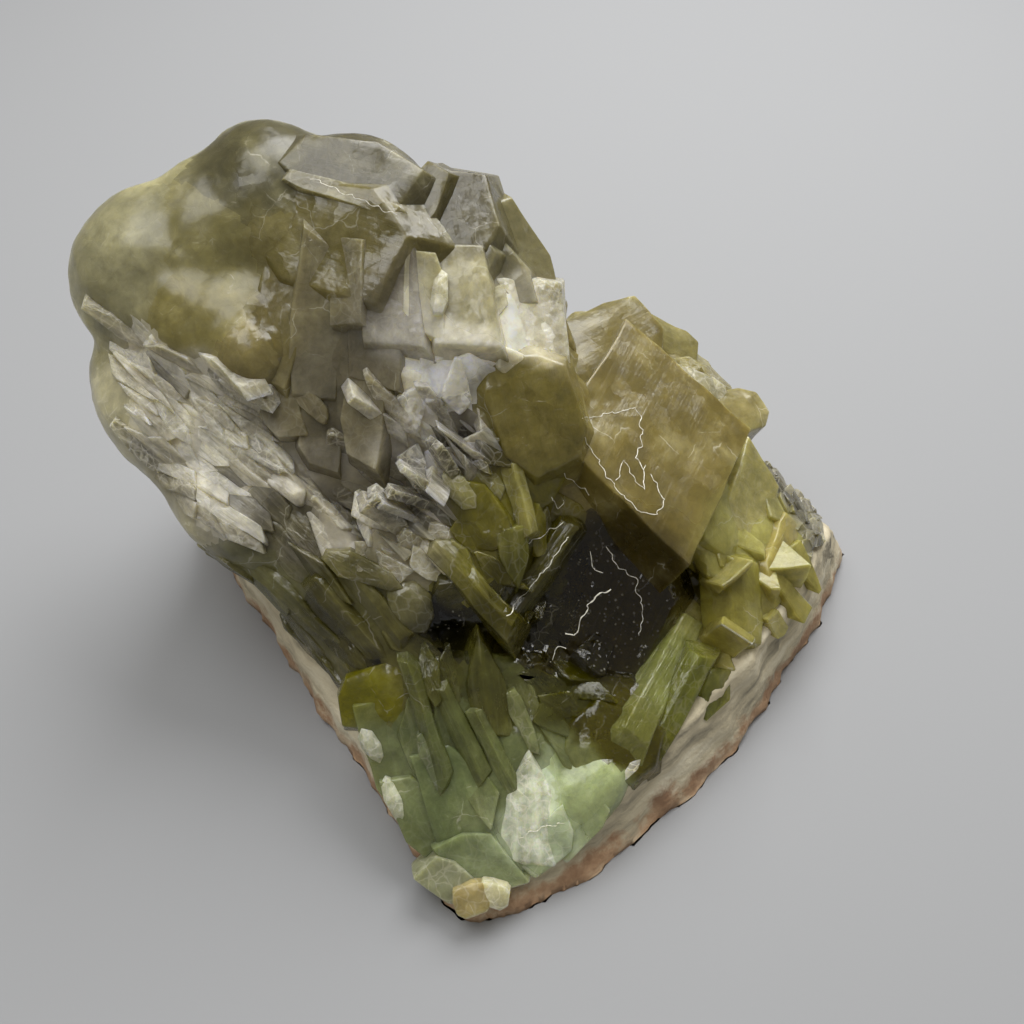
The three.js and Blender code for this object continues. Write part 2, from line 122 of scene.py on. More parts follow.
def weather(body, grain, smoothing, waves):
    """Gives a body one skin, softens its joins, and moves the skin by noise of some sizes."""
    only(body)
    remesh = body.modifiers.new("one skin", "REMESH")
    remesh.mode = "VOXEL"
    remesh.voxel_size = grain * MM
    bpy.ops.object.modifier_apply(modifier=remesh.name)
    soften = body.modifiers.new("softened", "SMOOTH")
    soften.iterations = smoothing
    bpy.ops.object.modifier_apply(modifier=soften.name)
    normals = [vertex.normal.copy() for vertex in body.data.vertices]
    for vertex, normal in zip(body.data.vertices, normals):
        shift = sum(depth * noise(vertex.co / (size * MM)) for size, depth in waves)
        vertex.co += normal * shift * MM


bodies = []
for name, plane, front, foot in [
    ("head", SLOPE,
     [(-84, 14, -16), (-84, 4, -14), (-78, 24, -18), (-66, 33, -18), (-54, 40, -18),
      (-40, 41, -15), (-24, 37, -12), (-10, 33, -11), (0, 24, -12), (9, 16, -16), (13, 3, -14),
      (13, -12, -9), (0, -6, -3), (-18, 12, -1), (-30, 20, -2), (-45, 12, -3), (-60, 8, -6),
      (-50, -16, -5), (-62, -10, -6), (-76, -2, -10), (-36, -24, -6), (-14, -12, -3)],
     [(-48, 74, 66), (-32, 77, 78), (-8, 70, 88), (16, 54, 72), (28, 34, 70), (22, 10, 66),
      (-52, 54, 24), (-47, 66, 20), (-20, 71, 19), (20, 66, 19), (40, 48, 19), (44, 20, 19),
      (-50, 20, 20), (-20, -10, 20), (20, -20, 20)]),
    ("core", SLOPE,
     [(0, 0, -12), (13, -6, -13), (11, -26, -16), (2, -40, -16), (-10, -40, -10)],
     [(8, -26, 50), (0, -30, 36), (40, -30, 36), (40, 20, 40), (20, 24, 60), (20, -50, 20),
      (-10, -50, 20)]),
    ("left wall", SLOPE,
     [(-80, -2, -10), (-83, -10, -13), (-80, -20, -18), (-73, -31, -18), (-62, -40, -14),
      (-50, -46, -9), (-48, -24, -4), (-62, -12, -5), (-34, -40, -4), (-30, -50, -5)],
     [(-53, 46, 19), (-53, 10, 19), (-55, -10, 19), (-30, -10, 19), (-30, 40, 19)]),
    ("lower left", SLOPE,
     [(-60, -44, -14), (-54, -54, -16), (-44, -65, -13), (-36, -73, -10), (-20, -66, -4),
      (-20, -48, -4), (-36, -44, -4)],
     [(-57, -10, 18), (-60, -30, 14), (-40, -30, 18), (-30, 0, 20), (-53, 20, 19)]),
    ("middle", SLOPE,
     [(-30, -40, -4), (-12, -34, -4), (2, -10, -5), (12, -14, -9), (11, -34, -10), (4, -44, -6),
      (-2, -60, -5), (-10, -58, -5), (-24, -62, -5), (-2, -30, -4)],
     [(-30, -20, 18), (0, -20, 18), (10, -10, 30)]),
    ("corner", SLOPE,
     [(-34, -74, -8), (-30, -90, -6), (-23, -105, -4), (-15, -114, -3), (-8, -119, -1),
      (0, -118, -1), (11, -111, -3), (22, -101, -4), (31, -91, -8), (20, -84, -7),
      (8, -82, -6), (-1, -68, -7), (-20, -66, -4)],
     [(-60, -48, 10), (-47, -63, 13), (-16, -66, 20), (-2, -66, 21), (-10, -46, 20),
      (-54, -20, 18)]),
    ("hollow floor", SLOPE,
     [(4, -52, -17), (20, -36, -26), (40, -42, -34), (44, -58, -36), (28, -78, -25),
      (10, -84, -12), (0, -66, -13)],
     [(0, -60, 19), (20, -58, 19), (40, -40, 20), (10, -20, 20), (-20, -40, 20)]),
    ("knife rim", SLOPE,
     [(25, -86, -9), (30, -90, -10), (44, -62, -33), (49, -70, -35), (36, -78, -20)],
     [(-16, -66, 20), (16, -66, 21), (12, -56, 20), (-14, -56, 20)]),
    ("right block", RIGHT_TOP,
     [(-20, -22, -3), (-28, 8, -3), (-16, 28, -4), (16, 30, -5), (32, 12, -6), (32, -8, -8),
      (12, -18, -5)],
     [(56, -42, 20), (60, 10, 19), (44, 30, 19), (0, 20, 20), (10, -36, 24), (34, -52, 20)]),
    ("right foot", RIGHT_SIDE,
     [(-16, 6, -4), (-8, 16, -4), (12, 18, -5), (26, 6, -4), (30, -12, -3), (-18, -12, -3)],
     [(63, -53, 17), (58, -42, 20), (52, -60, 20), (30, -64, 21), (16, -66, 21),
      (30, -20, 20)]),
]:
    corners = [on(plane, *corner).translation for corner in front]
    bodies.append(hull(name, corners + [Vector(corner) * MM for corner in foot]))
for name, place, size, turn in [
    ("far left lobe", on(SLOPE, -75, 14, -15), (40, 38, 28), 30),
    ("left shoulder", on(SLOPE, -62, 19, -17), (50, 38, 32), 60),
    ("dome", on(SLOPE, -50, 26, -17), (44, 38, 34), 96),
    ("cap", on(SLOPE, -33, 29, -17), (42, 30, 32), -12),
    ("olive hollow", on(SLOPE, -62, 4, -12), (44, 30, 24), -30),
    ("left fold", on(SLOPE, -54, -4, -7), (22, 16, 18), -60),
    ("outer wall", on(SLOPE, -75, -17, -22), (46, 28, 34), -56),
    ("outer wall low", on(SLOPE, -61, -37, -20), (42, 22, 30), -42),
    ("pale dome", on(SLOPE, 17, -96, -9), (26, 18, 15), 36),
]:
    bpy.ops.object.select_all(action="DESELECT")
    bpy.ops.mesh.primitive_ico_sphere_add(subdivisions=3, radius=0.5)
    lobe = bpy.context.active_object
    lobe.name = name
    long, wide, tall = size
    spin = Matrix.Rotation(math.radians(turn), 4, "Z")
    lobe.data.transform(place @ spin @ Matrix.Diagonal((long * MM, wide * MM, tall * MM, 1)))
    bodies.append(lobe)
bpy.ops.object.select_all(action="DESELECT")
for body in bodies:
    body.select_set(True)
bpy.context.view_layer.objects.active = bodies[0]
bpy.ops.object.join()
massive = bpy.context.active_object
massive.name = "massive calcite"
weather(massive, 1.5, 14, [(19, 1.6), (9, 0.5), (3, 0.2)])
massive_skin = BVHTree.FromObject(massive, bpy.context.evaluated_depsgraph_get())

# ------------------------------------------------------------------ how the calcite looks
# Each part of the surface has its own habit: how large the crystals are there and how long
# for their width, which way they lie, how steeply their faces tilt, their colours, and how
# milky or how broken and white they are. A part with no crystal size is smooth and waxy.
Habit = namedtuple("Habit", "middle reach size long grain tilt lift tints milk frost")
regions = []


def region(place, reach, size, long, turn, tilt, lift, tints, milk, frost=0.0):
    grain = (place.to_3x3() @ Matrix.Rotation(math.radians(turn), 3, "Z")).col[0]
    regions.append(Habit(place.translation, reach * MM, size * MM, long, grain, tilt, lift * MM,
                         tints, milk, frost))


# the head
for across, up, proud, reach, size, long, turn, tilt, lift, tints, milk, frost in [
    (-76, 13, -8, 15, 0, 1, 0, 0, 0, ("#99957a",), 0.8, 0),
    (-62, 16, -4, 13, 0, 1, 0, 0, 0, ("#8d8763",), 0.75, 0),
    (-64, 4, -2, 13, 0, 1, 0, 0, 0, ("#928a61",), 0.7, 0),
    # the dome, cap and nose tints are darkened to offset the window's light on these up- and
    # back-facing faces: painted shade
    (-50, 33, -6, 14, 0, 1, 0, 0, 0, ("#5e5a41",), 0.7, 0),
    (-30, 36, -8, 13, 0, 1, -10, 0, 0, ("#645f49",), 0.65, 0),
    (-34, 21, -1, 11, 0, 1, -18, 0, 0, ("#8d8560",), 0.45, 0),
    (-46, 18, -1, 8, 0, 1, 80, 0, 0, ("#938b64",), 0.55, 0),
    (-11, 25, -3, 11, 0, 1, 96, 0, 0, ("#615b42",), 0.5, 0),
    (4, 18, -10, 10, 0, 1, -60, 0, 0, ("#8c8769",), 0.5, 0),
    (9, 10, -8, 6, 5, 1.6, -24, 10, 0.3, ("#c5bfa6", "#a9a288"), 0.6, 0.2),
    (-23, 8, 1, 8, 9, 2.0, 96, 4, 0.0, ("#9c9582", "#a8a190"), 0.35, 0.05),
    (-6, 6, 1, 8, 9, 1.8, 100, 5, 0.0, ("#c9c3a2", "#bdb791"), 0.6, 0.1),
    (-14, -4, 1, 13, 7.5, 1.5, 84, 8, 0.0, ("#ffffff", "#fbf7ea", "#efeada"), 0.85, 0.6),
    (6, 3, -4, 9, 4.5, 1.5, -14, 11, 0.3, ("#fffbec", "#f6f0da"), 0.8, 0.6),
    (-53, -5, 0, 7, 0, 1, -60, 0, 0, ("#a0966f",), 0.55, 0),
    (-43, 3, 0, 9, 0, 1, 72, 0, 0, ("#8c825c",), 0.45, 0),
    (-36, -10, -2, 10, 9, 2.0, 82, 5, 0.0, ("#958e79", "#857f6b"), 0.45, 0),
    (-28, -12, 0, 9, 9, 2.0, 82, 5, 0.0, ("#a1987e", "#8f8870"), 0.5, 0.05),
    (-44, -14, -1, 7, 6, 1.8, -60, 9, 0.4, ("#938b70", "#a0977a"), 0.55, 0.05),
]:
    region(on(SLOPE, across, up, proud), reach, size, long, turn, tilt, lift, tints, milk, frost)

for across, up, proud, reach in [
    (-84, 16, -24, 16), (-72, 32, -26, 16), (-56, 42, -28, 16), (-38, 44, -30, 15),
    (-88, -2, -24, 13), (-84, -18, -36, 14),
]:
    region(on(SLOPE, across, up, proud), reach, 0, 1, 0, 0, 0, ("#aaa585",), 0.7)

# the left side: white fibrous bands over a smooth outer wall, and olive lozenges
WHITE_BAND = ("#e6e2d2", "#d3cdba", "#bab4a2", "#f2efe3", "#6d685d")
GREY_BLOCKS = ("#c3bdac", "#a09a8a", "#d8d3c3", "#77726a")
for across, up, proud, reach, size, long, turn, tilt, lift, tints, milk, frost in [
    (-74, -4, -5, 7, 3.0, 4.5, -40, 8, 0.3, WHITE_BAND, 0.8, 0.3),
    (-66, -12, -4, 9, 3.0, 4.5, -36, 8, 0.4, WHITE_BAND, 0.8, 0.25),
    (-54, -21, -2, 9, 3.2, 3.5, -32, 9, 0.4, WHITE_BAND, 0.75, 0.3),
    (-72, -18, -8, 8, 3.0, 3.6, -44, 8, 0.3, WHITE_BAND, 0.8, 0.3),
    (-60, -30, -8, 9, 3.2, 3.0, -38, 8, 0.3, WHITE_BAND, 0.8, 0.3),
    (-82, -18, -16, 12, 0, 1, 0, 0, 0, ("#bab59b",), 0.85, 0),
    (-70, -36, -20, 12, 0, 1, 0, 0, 0, ("#b3ad93",), 0.8, 0),
    (-44, -30, -2, 9, 6.0, 2.6, -36, 12, 0.4, GREY_BLOCKS, 0.75, 0.2),
    (-34, -36, -2, 9, 5.5, 2.4, -40, 13, 0.4, GREY_BLOCKS, 0.7, 0.3),
    (-46, -40, -6, 8, 7.0, 2.4, -42, 9, 0.3, ("#746f5c", "#5e5844"), 0.6, 0.05),
    (-20, -45, -2, 8, 4.6, 2.4, -44, 13, 0.6, ("#c4bda4", "#dcd7c2", "#8f8974"), 0.6, 0.3),
    (-50, -54, -12, 10, 5.5, 3.0, -44, 10, 0.5, ("#94926c", "#a3a073", "#7f7d55"), 0.4, 0),
    (-38, -62, -8, 9, 5.5, 3.0, -50, 10, 0.5, ("#6a6538", "#77724a", "#524e28"), 0.25, 0),
    (-28, -56, -2, 8, 5.5, 2.6, -50, 10, 0.8, ("#8a8654", "#77724a", "#9a966c"), 0.3, 0.03),
]:
    region(on(SLOPE, across, up, proud), reach, size, long, turn, tilt, lift, tints, milk, frost)

# the middle: fans of fibres, clear olive blades, and the dark, glassy hollow
OLIVE_GLASS = ("#aaa35a", "#948d3a", "#cac598", "#77723a")
for across, up, proud, reach, size, long, turn, tilt, lift, tints, milk, frost in [
    (-20, -22, 0, 8, 2.8, 4.5, -50, 9, 0.4, ("#e4dfd2", "#cbc5b6", "#f6f3ea"), 0.8, 0.45),
    (-9, -22, -1, 7, 2.8, 4.0, -50, 10, 0.3, ("#a8a294", "#25221c", "#d9d4c8"), 0.5, 0.25),
    (-18, -35, -1, 7, 2.8, 4.0, -44, 10, 0.3, ("#c9c4b6", "#eae5d8", "#211e19"), 0.6, 0.35),
    (5, -18, -3, 10, 10, 1.6, -74, 7, 0.6, ("#857c46", "#756c38"), 0.35, 0),
    (6, -34, -5, 7, 3.8, 2.2, -66, 14, 0.4, OLIVE_GLASS, 0.35, 0.12),
    (-5, -40, -2, 8, 3.8, 2.6, -60, 14, 0.4, OLIVE_GLASS, 0.35, 0.12),
    (-8, -51, -2, 7, 4.0, 2.6, -54, 12, 0.3, OLIVE_GLASS, 0.35, 0.12),
    (2, -55, -4, 7, 6.0, 2.4, -60, 9, 0.2, ("#57521f", "#454018"), 0.3, 0),
    (10, -50, -10, 7, 6.0, 2.4, 54, 12, 0.6, ("#5f5b22", "#524e1c"), 0.35, 0),
    # the hollow is dark olive glass, darker still towards its depth: partly its own colour, partly
    # painted shade
    (24, -50, -20, 12, 13, 1.2, 66, 4, 0.0, ("#352b10", "#2b240c"), 0.1, 0),
    (24, -68, -22, 13, 13, 1.2, 66, 4, 0.0, ("#3a3512", "#2e2a0e"), 0.1, 0),
    (41, -52, -33, 9, 6, 1.0, 80, 4, 0.0, ("#27260a", "#201f08"), 0.1, 0),
    (10, -66, -12, 8, 6.0, 2.2, 66, 9, 0.1, ("#453f1c", "#322d15", "#57522a"), 0.2, 0.03),
    # near-black: painted shade in the small sunken pockets
    (-12, -62, -5, 7, 8, 1.4, 86, 4, -0.5, ("#0c0a05",), 0.05, 0),
    (-27, -70, -6, 3.5, 4, 1.6, 90, 8, 0, ("#15130a",), 0.05, 0),
]:
    region(on(SLOPE, across, up, proud), reach, size, long, turn, tilt, lift, tints, milk, frost)

# the front corner: long mint-green prisms above, broad smooth faces below
MINT = ("#8f9770", "#7f8660", "#9aa17c", "#76804f")
for across, up, proud, reach, size, long, turn, tilt, lift, tints, milk, frost in [
    (-27, -75, -4, 7, 8.0, 1.4, 14, 8, 0.6, ("#827e2e", "#74702a"), 0.5, 0),
    (-16, -73, -3, 7, 5.5, 3.0, -74, 6, 0.2, ("#7d7c40", "#6b692f", "#8b8b52"), 0.2, 0),
    (-14, -84, -3, 9, 6.5, 3.0, -76, 5, 0.0, MINT, 0.4, 0.03),
    (0, -78, -4, 8, 5.5, 3.0, -76, 6, 0.2, ("#7f8254", "#6b6d38", "#93966a"), 0.3, 0.03),
    (0, -89, -3, 7, 7.5, 2.6, -76, 5, 0.0, MINT, 0.45, 0.03),
    (-26, -91, -5, 8, 8.0, 2.2, -76, 4, 0.0, ("#8f9770", "#a9ad8c"), 0.5, 0.05),
    (-12, -102, -3, 10, 9, 2.2, -72, 4, 0.0, MINT, 0.55, 0),
    (-2, -98, -3, 8, 8, 2.2, -76, 4, 0.0, MINT, 0.55, 0),
    (-4, -112, -2, 9, 9, 1.4, 20, 4, 0.0, ("#9aa280", "#abb190"), 0.6, 0.08),
    (6, -101, -3, 8, 6.0, 1.6, 84, 6, 0.0, ("#dde5cd", "#ccd6b8"), 0.8, 0.45),
    (18, -97, -2, 8, 0, 1, 0, 0, 0, ("#c4cea4",), 0.6, 0),
    (24, -85, -9, 8, 9, 1.4, -20, 7, 0.5, ("#605a0c", "#6a6418"), 0.2, 0),
    (34, -76, -22, 9, 7, 1.9, 58, 8, 0.2, ("#8f9358", "#7f8346", "#a3a86c"), 0.35, 0.03),
    (14, -78, -10, 7, 6, 2.0, -40, 11, 0.6, ("#6b6d38", "#56551f"), 0.2, 0),
]:
    region(on(SLOPE, across, up, proud), reach, size, long, turn, tilt, lift, tints, milk, frost)

# the right block: one large tan rhomb on top, yellow crystals down its front
TAN = ("#94885a", "#897e50", "#a0946a")
YELLOW = ("#c6c284", "#c0b984", "#aea766", "#d2cd9c")
for plane, across, up, reach, size, long, turn, tilt, tints, milk, frost in [
    (RIGHT_TOP, 0, 6, 24, 12, 1.3, -30, 5, TAN, 0.6, 0),
    (RIGHT_TOP, 24, 2, 10, 7, 1.3, -40, 9, ("#9a9168", "#aba47e"), 0.65, 0.1),
    (RIGHT_SIDE, -4, 8, 12, 10, 1.3, 96, 5, YELLOW, 0.5, 0),
    (RIGHT_SIDE, 14, 4, 11, 10, 1.3, 88, 5, YELLOW, 0.5, 0),
    (RIGHT_SIDE, -18, -4, 10, 8, 1.4, 100, 5, ("#b5ae70", "#c0b984"), 0.45, 0),
    (RIGHT_SIDE, 28, -6, 11, 3.2, 1.3, 0, 14, ("#6f6b5f", "#2c2a26", "#a5a193"), 0.7, 0.15),
]:
    region(on(plane, across, up, -3), reach, size, long, turn, tilt, 0.4, tints, milk, frost)

# the back and the left wall: broader, rougher faces
PLAIN = ("#9a9370", "#8c8666", "#a8a17e")
for plane, across, up, reach in [
    (BACK_WALL, 30, 24, 22), (BACK_WALL, 0, 30, 22), (BACK_WALL, 30, -14, 22),
    (BACK_WALL, 0, -10, 22), (BACK_WALL, -32, -10, 22), (BACK_RIGHT, 0, 20, 22),
    (BACK_RIGHT, 0, -12, 22), (BACK_RIGHT, 34, -8, 20), (BACK_RIGHT, -30, 0, 20),
]:
    region(on(plane, across, up, -6), reach, 13, 1.3, 20, 8, 0.3, PLAIN, 0.65, 0.05)
for across, up in [(-10, -14), (14, -14), (34, -14)]:
    region(on(LEFT_WALL, across, up, -6), 14, 7, 1.8, -30, 9, 0.3, ("#7d794e", "#6a6538"), 0.4)


def habit_at(spot):
    return min(regions, key=lambda part: (part.middle - spot).length / part.reach)


def from_hex(text):
    """An sRGB colour such as #7d7545 as linear red, green, blue and alpha."""
    channels = [int(text[i:i + 2], 16) / 255 for i in (1, 3, 5)]
    return [c / 12.92 if c <= 0.04045 else ((c + 0.055) / 1.055) ** 2.4 for c in channels] + [1]


LAYERS = (("tint", "FLOAT_COLOR"), ("milk", "FLOAT"), ("frost", "FLOAT"), ("wear_and_glint", "FLOAT"),
          ("grain", "FLOAT_VECTOR"), ("streaks", "FLOAT"))


def paint(mesh, tint, milk, frost, grain, streaks):
    """Gives every face of one crystal its colour, milk, frost, and streaks along its grain."""
    for name, kind in LAYERS:
        mesh.attributes.new(name, kind, "FACE")
    count = len(mesh.polygons)
    shade = random.uniform(0.9, 1.1)
    values = {"tint": [c * shade for c in from_hex(tint)], "milk": [milk], "frost": [frost],
              "wear_and_glint": [0.0], "grain": list(grain), "streaks": [streaks]}
    fields = {"FLOAT_COLOR": "color", "FLOAT": "value", "FLOAT_VECTOR": "vector"}
    for name, kind in LAYERS:
        mesh.attributes[name].data.foreach_set(fields[kind], values[name] * count)


# the waxy skin of the massive calcite has the colours of the part that each face is in
for name, kind in LAYERS:
    massive.data.attributes.new(name, kind, "FACE")
skin = massive.data.attributes
for face in massive.data.polygons:
    habit = habit_at(face.center)
    skin["tint"].data[face.index].color = from_hex(habit.tints[0])
    skin["milk"].data[face.index].value = habit.milk
    skin["grain"].data[face.index].vector = habit.grain
    face.use_smooth = True
bpy.context.scene.collection.objects.unlink(massive)
grown.objects.link(massive)

# ------------------------------------------------------------------ the main crystals
# The crystals that stand out grew on the massive calcite, each set by the middle of its
# outer face, its length and width, how it is turned and tipped, and how far it stands up.


NEARLY_FLAT = math.radians(4)


def close(name, corners, tint, milk, frost, grain, streaks, wear=0.3, edge=1.0, rounds=1):
    """A crystal from its corners: their hull, with edges rounded off by wear, in millimetres, and
    painted pale along them: partly wear, partly painted highlight.
    """
    mesh = bpy.data.meshes.new(name)
    mesh.from_pydata(corners, [], [])
    grown_crystal = bpy.data.objects.new(name, mesh)
    grown.objects.link(grown_crystal)
    only(grown_crystal)
    bpy.ops.object.mode_set(mode="EDIT")
    bpy.ops.mesh.select_all(action="SELECT")
    bpy.ops.mesh.convex_hull()
    bpy.ops.mesh.select_all(action="SELECT")
    bpy.ops.mesh.dissolve_limited(angle_limit=NEARLY_FLAT)
    bpy.ops.mesh.select_all(action="SELECT")
    bpy.ops.mesh.normals_make_consistent(inside=False)
    bpy.ops.mesh.bevel(offset=wear * MM, segments=rounds, material=1, affect="EDGES")
    bpy.ops.object.mode_set(mode="OBJECT")
    middle = sum((vertex.co for vertex in mesh.vertices), Vector()) / len(mesh.vertices)
    if sum(face.normal.dot(face.center - middle) * face.area for face in mesh.polygons) < 0:
        mesh.flip_normals()
    paint(mesh, tint, milk, frost, grain, streaks)
    # the bevel faces get the pale edge mark: partly wear, partly painted highlight
    wear_and_glint = mesh.attributes["wear_and_glint"].data
    for face in mesh.polygons:
        wear_and_glint[face.index].value = edge * (face.material_index == 1)
        face.material_index = 0


def frame_at(spot, out, grain):
    """Axes at a spot: z along out, x as near to grain as the surface lets it be."""
    along = (grain - out * grain.dot(out)).normalized()
    axes = Matrix((along, out.cross(along), out)).transposed().to_4x4()
    return Matrix.Translation(spot) @ axes


def trim(outline, offset):
    """The part of a flat outline nearer to its middle than to a neighbour at offset."""
    kept = []
    limit = offset.length_squared / 2
    for start, end in zip(outline, outline[1:] + outline[:1]):
        inside, beyond = start.dot(offset) - limit, end.dot(offset) - limit
        if inside <= 0:
            kept.append(start)
        if inside * beyond < 0:
            kept.append(start.lerp(end, inside / (inside - beyond)))
    return kept


def rock_level(spot):
    """Where the rock starts: about 17 mm up, but down to 5 mm at the thin front corner."""
    return MM * min(17, max(5, 26 + (spot.x + spot.y) / MM / 6))


CLEAVAGE_SKEW = 1 / math.tan(math.radians(78.1))  # calcite's cleavage corner is 78.1 degrees

# Outer faces: along the length, across the width, and raised, each as a share of the size.
HABITS = {
    "rhomb": [(-0.5, -0.5, 0), (0.5, -0.5, 0), (0.5, 0.5, 0), (-0.5, 0.5, 0)],
    "chipped": [(-0.5, -0.5, 0), (0.3, -0.5, 0), (0.5, -0.25, 0), (0.5, 0.5, 0),
                (-0.3, 0.5, 0), (-0.5, 0.2, 0)],
    "block": [(-0.5, -0.3, -0.03), (-0.32, -0.5, -0.02), (0.35, -0.5, -0.04), (0.5, -0.2, -0.02),
              (0.5, 0.35, -0.01), (0.25, 0.5, -0.03), (-0.35, 0.5, -0.02), (-0.5, 0.15, -0.01),
              (-0.28, -0.2, 0.03), (0.3, -0.24, 0.02), (0.24, 0.26, 0.05), (-0.3, 0.2, 0.03)],
    "lump": [(0.5 * math.cos(i * math.tau / 8), 0.5 * math.sin(i * math.tau / 8), -0.08)
             for i in range(8)] + [(0.3 * math.cos(i * math.tau / 5 + 0.3),
                                    0.3 * math.sin(i * math.tau / 5 + 0.3), 0.06)
                                   for i in range(5)],
    "facet": [(-0.5, -0.25, 0), (-0.25, -0.5, 0), (0.4, -0.48, 0), (0.5, 0.2, 0), (0.2, 0.5, 0),
              (-0.42, 0.38, 0)],
    "blade": [(-0.5, -0.2, 0), (-0.5, 0.2, 0), (-0.25, 0.5, 0), (0.25, 0.45, 0), (0.5, 0.1, 0),
              (0.42, -0.3, 0), (-0.25, -0.5, 0), (-0.3, 0, 0.1), (0.3, 0, 0.12)],
    "prism": [(-0.5, -0.4, 0), (-0.44, 0.4, 0), (0.42, 0.5, 0), (0.5, -0.3, 0),
              (-0.46, 0.1, 0.22), (0.44, 0.14, 0.22)],
    "tooth": [(-0.5, -0.5, 0), (-0.5, 0.5, 0), (0.05, 0.4, 0), (0.5, 0, 0), (0.05, -0.4, 0),
              (-0.45, 0, 0.16), (0.15, 0, 0.16)],
}
SKEWED = ("rhomb", "chipped")
FACET_FLARE = 1.6  # a facet slopes gently down into the calcite all round


FAR_OUT = 60  # in front of all the calcite


def rest(plane, across, up, above):
    """A place on the massive calcite, straight below a point of a working plane."""
    out = plane.to_3x3().col[2]
    spot, normal = massive_skin.ray_cast(on(plane, across, up, FAR_OUT).translation, -out)[:2]
    if spot is None:
        return on(plane, across, up, above - 8)
    lean = (normal + out).normalized()
    return frame_at(spot + lean * above * MM, lean, plane.to_3x3().col[0])


footprints = []


def crystal(name, place, long, wide, turn=0, rise=0, roll=0, habit="chipped", deep=8,
            tint="#8f9467", milk=0.6, frost=0.0, flare=1.4, uneven=0.06, headroom=5):
    """One crystal. Where it meets the massive calcite it is wider by flare."""
    pose = (place @ Matrix.Rotation(math.radians(turn), 4, "Z")
            @ Matrix.Rotation(math.radians(-rise), 4, "Y")
            @ Matrix.Rotation(math.radians(roll), 4, "X"))
    skew = CLEAVAGE_SKEW if habit in SKEWED else 0
    if habit == "facet":
        flare = FACET_FLARE
    corners = []
    for x, y, z in HABITS[habit]:
        x, y = x + random.uniform(-uneven, uneven), y + random.uniform(-uneven, uneven)
        along, aside = x * long + skew * y * wide, y * wide
        corners.append(pose @ (Vector((along, aside, z * wide)) * MM))
        corners.append(pose @ (Vector((along * flare, aside * flare, -deep)) * MM))
    floor = rock_level(place.translation)
    for corner in corners:
        corner.z = max(corner.z, floor)
    back = pose.inverted()

    def covers(spot):
        at = back @ spot / MM
        aside = at.y
        return (abs(at.x - skew * aside) < 0.46 * long and abs(aside) < 0.46 * wide
                and -deep - 4 < at.z < headroom)

    footprints.append(covers)
    streaks = 0.6 if habit in ("prism", "blade", "tooth") else 0.12
    close(name, corners, tint, milk, frost, pose.to_3x3().col[0], streaks,
          wear=min(0.4, 0.03 * wide), rounds=2)


